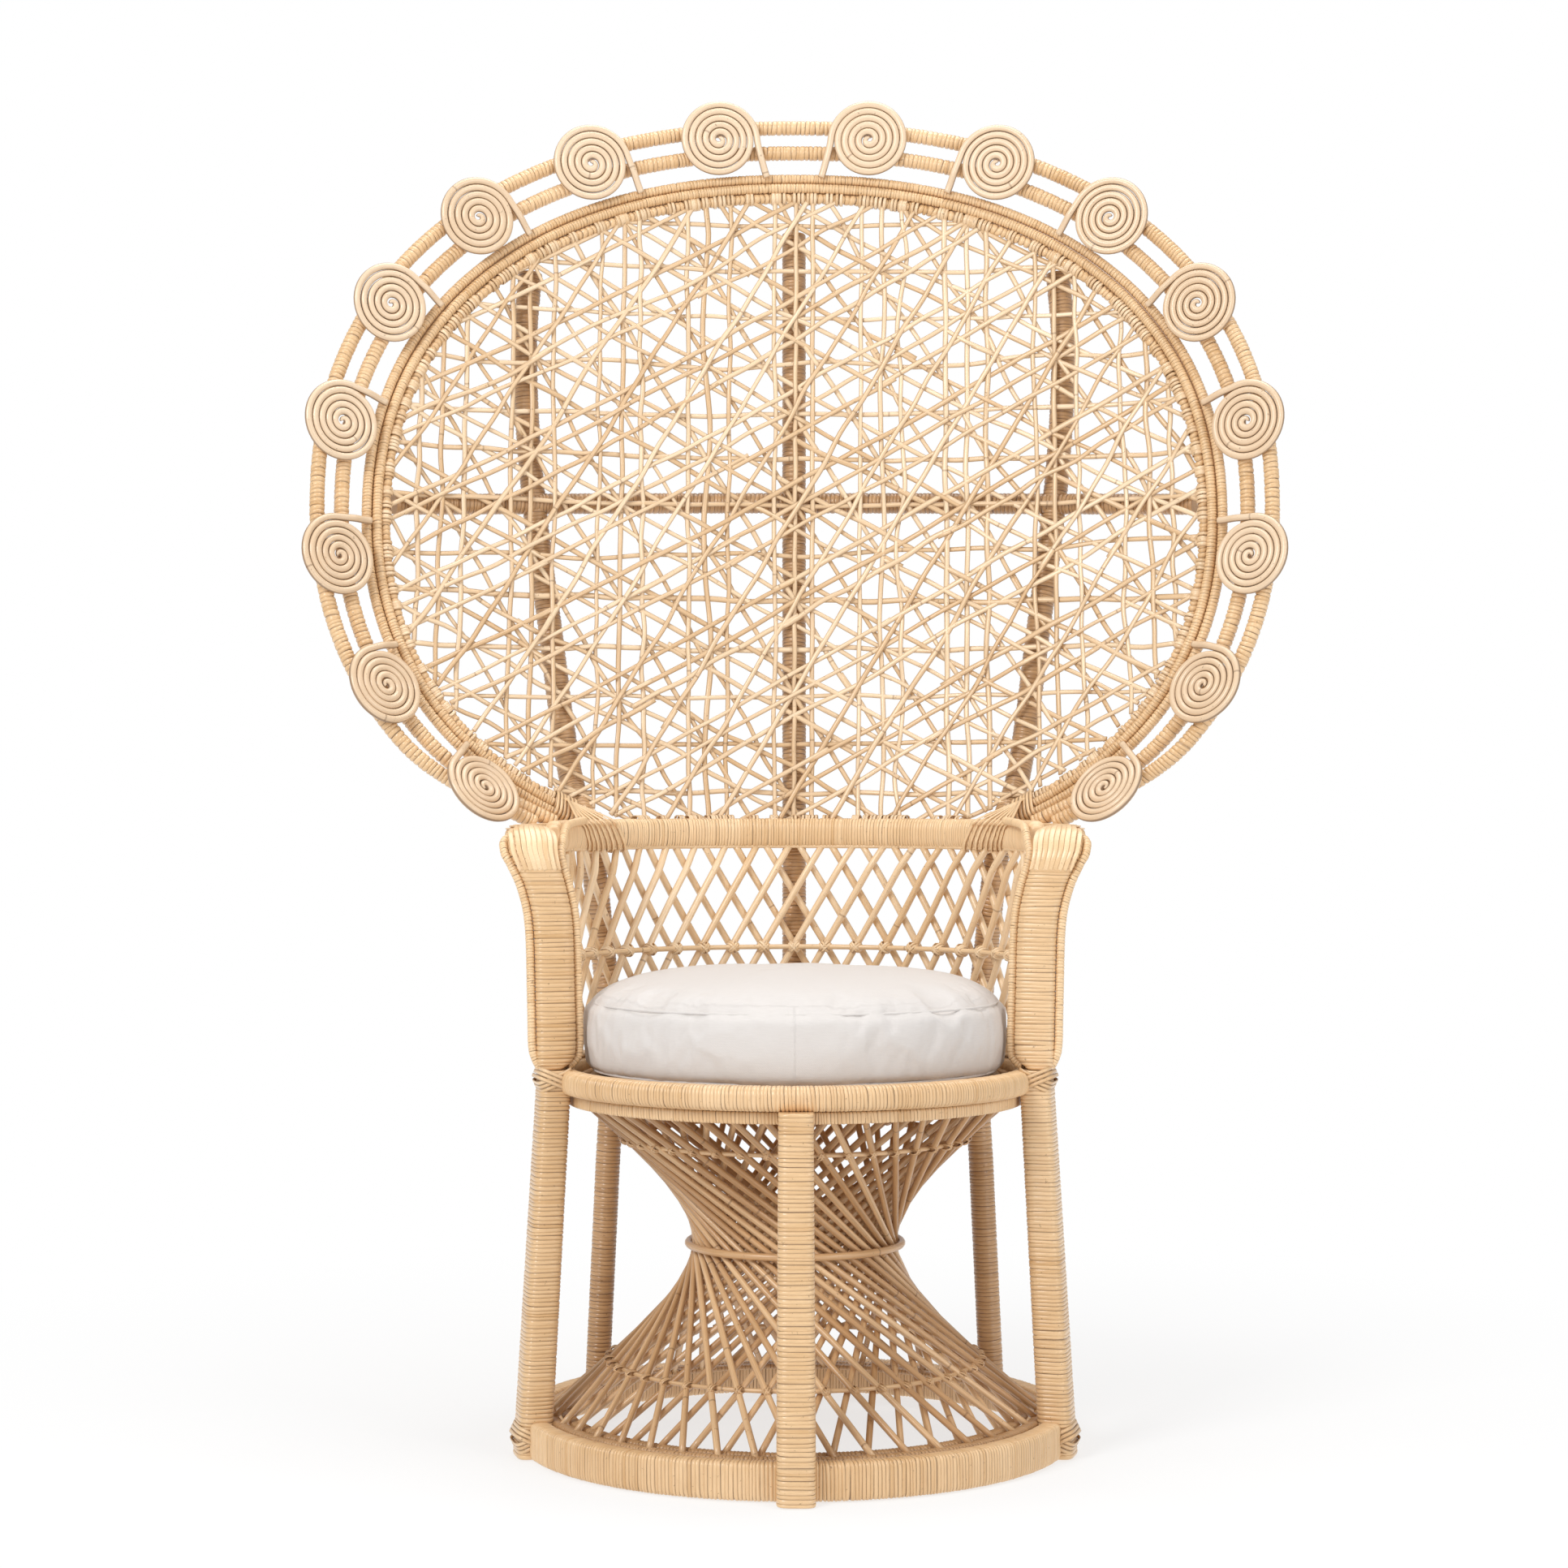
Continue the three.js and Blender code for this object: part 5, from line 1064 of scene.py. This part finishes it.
def armPieces(seed):
    middle, across, through, width = armStations()
    count = arm["samples"]
    line, width = catmull(middle, count), catmull(width, count)
    across, through = unit(catmull(across, count)), unit(catmull(through, count))
    thick = arm["thick"] / 2 + 1.6 * np.clip(np.arange(count) / count * len(middle) - 8.5, 0, 1)
    front = wrapped(line, across, through, width / 2, thick, dict(arm, seed=seed))

    def at(station):
        return int(count * station / (len(middle) - 1))

    # Smooth strips, laid side by side, run over the bend and back along the top
    first = at(5.7)
    top = line[first:] + through[first:] * thick[first:, None]
    rise = np.clip(alongOf(line[first:]) / 9, 0, 1) * 2.1 - 1.2
    strips = []
    for share in (np.arange(arm["strips"]) + 0.5) / arm["strips"] * 2 - 1:
        drop = thick[first:] * (1 - (1 - np.abs(share) ** arm["power"]) ** (1 / arm["power"]))
        aside = share * (width[first:] / 2 - 0.6)
        spots = top + across[first:] * aside[:, None] + through[first:] * (rise - drop)[:, None]
        wide = width[first:] / arm["strips"] / 2 - 0.12
        # Painted shade on the sides of each strip, where the strips touch
        look = dict(sides=10, seed=seed + 20 + int(share * 50), power=4.0, flank=0.35)
        strips.append(canes(spots[::2], through[first::2], wide[::2], arm["stripThick"], **look))
    cords = []
    for edge, last in ((1, at(9.6)), (-1, at(9.0))):
        reach = width / 2 + cord["radius"] - 0.6
        spots = (line + across * (edge * reach)[:, None])[6:last]
        if edge > 0:
            # The outer cord leans in at the seat, and over the arm's top once it is past the bend
            ease = np.clip((np.arange(len(spots)) - (at(8.2) - 6)) / (len(spots) - at(8.2) + 6), 0, 1) ** 2
            inward = 14 * ease + 8 * np.clip(1 - alongOf(spots) / 26, 0, 1) ** 2
            spots = spots - across[6:last] * inward[:, None] + up * (7.5 * ease**0.7)[:, None]
        else:
            # The inner cord runs on over the band to the foot of the rim
            start = spots[: at(7.6) - 6]
            spots = np.concatenate([start, catmull(np.vstack([start[-1], polar(*cord["over"])]), 70)[1:]])
        spots = catmull(spots[::6], 220)
        cords.append(wrappedRound(spots, through[at(5)], dict(cord, seed=seed + 2 + edge)))
    return front, joined(strips), *cords


for (side, turned), seed in zip(bothSides, (111, 121)):
    front, strips, outerCord, innerCord = (turned(form) for form in armPieces(seed))
    addPiece(f"wrapped_{side}_arm", front, wrapCane, "cane", f"{side}_arm_front")
    addPiece(f"{side}_arm_top_strips", strips, bandCane, "cane")
    addPiece(f"{side}_arm_outer_cord", outerCord, bandCane, "cane", f"{side}_arm_outer_rim")
    addPiece(f"{side}_arm_inner_cord", innerCord, bandCane, "cane", f"{side}_arm_inner_rim")
print("arms made")


# Seat deck: flat canes laid side by side in a round frame

deck = {"radius": 236.4, "top": 401, "thick": 12, "pitch": 32.2, "gap": 2.4, "frame": 7.0, "seed": 133}
deckFrame = {"pitch": 5, "swell": 0.5, "sides": 12, "power": 3.5, "seed": 132}


def seatDeck():
    height, inside = deck["top"] - deck["thick"] / 2, deck["radius"] - 2 * deck["frame"]
    ring = dict(deckFrame, radius=deck["radius"] - deck["frame"], middle=height, wall=deck["frame"], half=6)
    forms = [wrappedRing(ring, 200)]
    count = int(inside / deck["pitch"] - 0.5)
    for i, x in enumerate((np.arange(-count - 1, count + 1) + 0.5) * deck["pitch"]):
        half = np.sqrt(max(inside**2 - x**2, 60**2)) + 4
        spots = np.stack([np.full(40, x), np.linspace(-half, half, 40), np.full(40, height)], -1)
        forms.append(canes(spots, up, (deck["pitch"] - deck["gap"]) / 2, 5.6, 14, deck["seed"] + i, 4.0))
    return joined(forms)


addPiece("laid_seat_deck", seatDeck(), rodCane, "rod_cane", "seat_deck")


# Cushion: a sewn cover, swollen by its filling in a cloth run, with a flat seam at each edge

cushion = {"radius": 229, "low": 401.6, "side": 81, "crown": 24, "columns": 96, "seed": 141, "fill": 0.8}
cushion.update(spare=7.5, voxel=0.0055, frames=20, cap=0.012, seamDepth=2.1, seamWidth=4.5, roll=12.0)
seams = cushion["low"] + 6.0, cushion["low"] + cushion["side"] - 3.0
filling = {"quality": 5, "mass": 0.3, "use_pressure": True, "uniform_pressure_force": 4.0}
filling.update(tension_stiffness=14, compression_stiffness=14, shear_stiffness=6, bending_stiffness=0.6)
piping = {"a": 1.0, "b": 1.35, "sides": 8, "seed": 142}


def cushionStart():
    # The sewn cover before it swells: a drum with rounded edges and a low crown, in rings from
    # the middle of its underside to the middle of its top
    reach = cushion["radius"] + cushion["spare"]
    low, high, roll = cushion["low"] + 1.0, cushion["low"] + cushion["side"] - 2.0, cushion["roll"]
    bend = np.linspace(0, pi / 2, 6)
    domed = np.array((0.9, 0.8, 0.68, 0.55, 0.4, 0.25, 0.1, 0.0))
    flat = np.arange(5) * 0.2
    lower, upper = reach - roll * 0.6 * (1 - np.sin(bend)), reach - roll * (1 - np.cos(bend))
    radius = np.concatenate([reach * flat, lower, upper, reach * domed])[:, None]
    heights = low + 0 * flat, low + roll * (1 - np.cos(bend)), high - roll * (1 - np.sin(bend))
    height = np.concatenate([*heights, high + cushion["crown"] * (1 - domed**3)])[:, None]
    points = polar(radius, np.arange(cushion["columns"]) / cushion["columns"] * 2 * pi, height)
    index = np.arange(points.shape[0] * points.shape[1]).reshape(points.shape[:2])
    after = np.roll(index, -1, 1)
    quads = np.stack([index[1:-2], index[2:-1], after[2:-1], after[1:-2]], -1).reshape(-1, 4)
    return inMetres(points.reshape(-1, 3)), [*quads.tolist(), index[1].tolist(), index[-2, ::-1].tolist()]


def evaluated(thing):
    graph = bpy.context.evaluated_depsgraph_get()
    graph.update()
    return thing.evaluated_get(graph)


def swollenCushion():
    # Remeshed evenly, then blown up as cloth, with no vertex let further than the cap
    points, faces = cushionStart()
    mesh = bpy.data.meshes.new("cushion_start")
    mesh.from_pydata(points.tolist(), [], faces)
    sewn = newObject("cushion_start", mesh)
    remesh = sewn.modifiers.new("even", "REMESH")
    remesh.mode, remesh.voxel_size, remesh.use_smooth_shade = "VOXEL", cushion["voxel"], True
    even = bpy.data.meshes.new_from_object(evaluated(sewn))
    bpy.data.objects.remove(sewn)
    before = inMillimetres(even)
    cover = newObject("cushion_cover", even)
    cloth = cover.modifiers.new("swell", "CLOTH")
    for key, value in filling.items():
        setattr(cloth.settings, key, value)
    cloth.settings.effector_weights.gravity = 0
    for step in range(1, cushion["frames"] + 1):
        bpy.context.scene.frame_set(step)
        moved = inMillimetres(evaluated(cover).data)
    bpy.context.scene.frame_set(1)
    cover.modifiers.clear()
    move, cap = moved - before, cushion["cap"] * 1000
    reach = np.linalg.norm(move, axis=1, keepdims=True)
    print("cushion moved, in mm", np.percentile(reach, [5, 50, 95, 100]).round(1), len(before))
    spots = before + move * cap * np.tanh(reach / cap) / np.maximum(reach, 1e-6)
    even.vertices.foreach_set("co", inMetres(spots).ravel())
    bpy.data.objects.remove(cover)
    return even


def sewnForm(mesh):
    # Flat on the deck, clear of the arms, drawn in along the seams, with soft folds beside them
    holder = newObject("cushion_holder", mesh)
    finer = holder.modifiers.new("finer", "SUBSURF")
    finer.levels = finer.render_levels = 1
    fine = bpy.data.meshes.new_from_object(evaluated(holder))
    bpy.data.objects.remove(holder)
    spots = inMillimetres(fine)
    rng = np.random.default_rng(cushion["seed"])
    phi, height = np.arctan2(spots[:, 0], spots[:, 1]), spots[:, 2]
    radius, out = np.hypot(spots[:, 0], spots[:, 1]), polar(1.0, phi)
    fold = sum(rng.normal() * np.sin(k * phi + rng.random() * 6) * (26 / k) ** 0.5 for k in range(20, 96, 4))
    slow = sum(rng.normal() * np.sin(k * phi + rng.random() * 6) / k for k in (2, 3, 4, 6))
    fold, slow = fold / np.abs(fold).max(), slow / np.abs(slow).max()
    rim = np.clip((radius - cushion["radius"] + 34) / 26, 0, 1)
    for seam in seams:
        away = np.abs(height - seam)
        pinch = np.exp(-((away / cushion["seamWidth"]) ** 2)) * cushion["seamDepth"]
        pucker = np.exp(-away / 11) * (1 - np.exp(-away / 3)) * fold * 0.9
        spots -= out * ((pinch - pucker) * rim)[:, None]
    body = np.clip((height - cushion["low"]) / cushion["side"], 0, 1)
    spots += out * (np.sin(pi * body) * slow * 1.1 * rim)[:, None]
    spots[:, 2] += np.where(height > seams[1], 1.0, 0) * (1 - rim) * slow * 1.5
    wide, limit = np.hypot(spots[:, 0], spots[:, 1]), cushion["radius"] + 1.2
    spots[:, :2] *= np.minimum(1, limit / np.maximum(wide, 1))[:, None]
    spots[:, 2] = np.maximum(spots[:, 2], cushion["low"])
    # The weave runs level over the top and the underside, and round the side
    flat = (radius < cushion["radius"] - 16) | (height > seams[1] + 9)
    around = np.stack([phi * cushion["radius"], height, 0 * phi], -1)
    fine.vertices.foreach_set("co", inMetres(spots).ravel())
    setValues(fine, "strip", np.where(flat[:, None], spots * (1, 1, 0), around))
    fine.polygons.foreach_set("use_smooth", np.ones(len(fine.polygons), bool))
    fine.materials.clear()
    fine.materials.append(linen)
    fine.name = "sewn_cushion"
    fine.update()
    return fine


def seamPiping(mesh):
    # A thin folded edge of cloth along both seams
    spots, forms = inMillimetres(mesh), []
    for height in seams:
        near = np.abs(spots[:, 2] - height) < 1.5
        wide = np.hypot(spots[near, 0], spots[near, 1])
        radius = np.percentile(wide[wide > cushion["radius"] - 40], 60) + 0.1
        line, _ = turnedLine(radius, height, 361)
        forms.append(canes(line[:-1], up, **piping, closed=True))
    return joined(forms)


padMesh = sewnForm(swollenCushion())
pad = newObject("crowned_cushion", padMesh)
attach(pad, "cushion")
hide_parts("cushion")
addPiece("cushion_seams", seamPiping(padMesh), linen, "linen", body="cushion")
print("seat made")


# Floor, light and camera

studio = {"floorHalf": 40.0, "floorDrop": 0.0005, "paper": (0.93, 0.93, 0.93, 1), "white": (1, 1, 1, 1)}
studio.update(light=0.5, lookAt=(0, 0, 0.8), fade=(0.5, 1.5, 0.68, 1.0))
lamps = {
    "key_box": {"place": (-2.2, -3.0, 2.9), "size": 1.6, "power": 92},
    "fill_box": {"place": (2.6, -2.6, 1.7), "size": 1.6, "power": 32},
    "top_box": {"place": (0.2, 0.4, 3.6), "size": 2.0, "power": 50},
}
view = {"place": (-0.012, -3.426, 0.715), "lens": 72.3, "sensor": 36}


def stageFloor():
    # White floor that takes the soft shadow near the chair and fades to the backdrop's white
    mesh = bpy.data.meshes.new("studio_floor")
    corners = np.array([(-1, -1, 0), (1, -1, 0), (1, 1, 0), (-1, 1, 0)]) * studio["floorHalf"]
    mesh.from_pydata(corners.tolist(), [], [(0, 1, 2, 3)])
    material, tree, shader = newMaterial("floor_paper")
    feed(tree, shader, {"Base Color": studio["paper"], "Roughness": 0.9})
    place = node(tree, "ShaderNodeTexCoord", {}).outputs["Object"]
    far = node(tree, "ShaderNodeVectorMath", {0: place}, operation="LENGTH").outputs["Value"]
    light = node(tree, "ShaderNodeEmission", {"Color": studio["white"], "Strength": 1.0}).outputs[0]
    values = {0: smoothRange(tree, far, *studio["fade"]), 1: shader.outputs[0], 2: light}
    mix = node(tree, "ShaderNodeMixShader", values)
    feed(tree, tree.nodes["Material Output"], {"Surface": mix.outputs[0]})
    mesh.materials.append(material)
    floor = newObject("studio_floor", mesh)
    floor.location.z = -studio["floorDrop"]


def stageWorld():
    # Soft white light all round; the camera sees plain white
    world = bpy.data.worlds.new("studio_white")
    bpy.context.scene.world = world
    world.use_nodes = True
    tree = world.node_tree
    back = tree.nodes["Background"]
    feed(tree, back, {"Color": studio["white"], "Strength": studio["light"]})
    rays = node(tree, "ShaderNodeLightPath", {}).outputs["Is Camera Ray"]
    seen = node(tree, "ShaderNodeBackground", {"Color": studio["white"], "Strength": 1.0}).outputs[0]
    mix = node(tree, "ShaderNodeMixShader", {0: rays, 1: back.outputs[0], 2: seen})
    feed(tree, tree.nodes["World Output"], {"Surface": mix.outputs[0]})


stageFloor()
stageWorld()
for name, look in lamps.items():
    lamp = bpy.data.lights.new(name, "AREA")
    lamp.shape, lamp.energy = "RECTANGLE", look["power"]
    lamp.size = lamp.size_y = look["size"]
    box = newObject(name, lamp)
    away = np.array(look["place"]) - studio["lookAt"]
    box.location = look["place"]
    box.rotation_euler = (np.arctan2(np.hypot(away[0], away[1]), away[2]), 0, np.arctan2(away[0], -away[1]))

camera = bpy.data.cameras.new("front_camera")
camera.lens, camera.sensor_width, camera.clip_end = view["lens"], view["sensor"], 200
shot = newObject("front_camera", camera)
shot.location = chairMiddle + view["place"]
shot.rotation_euler = (pi / 2, 0, 0)
bpy.context.scene.camera = shot
bpy.context.scene.view_settings.view_transform = "Standard"
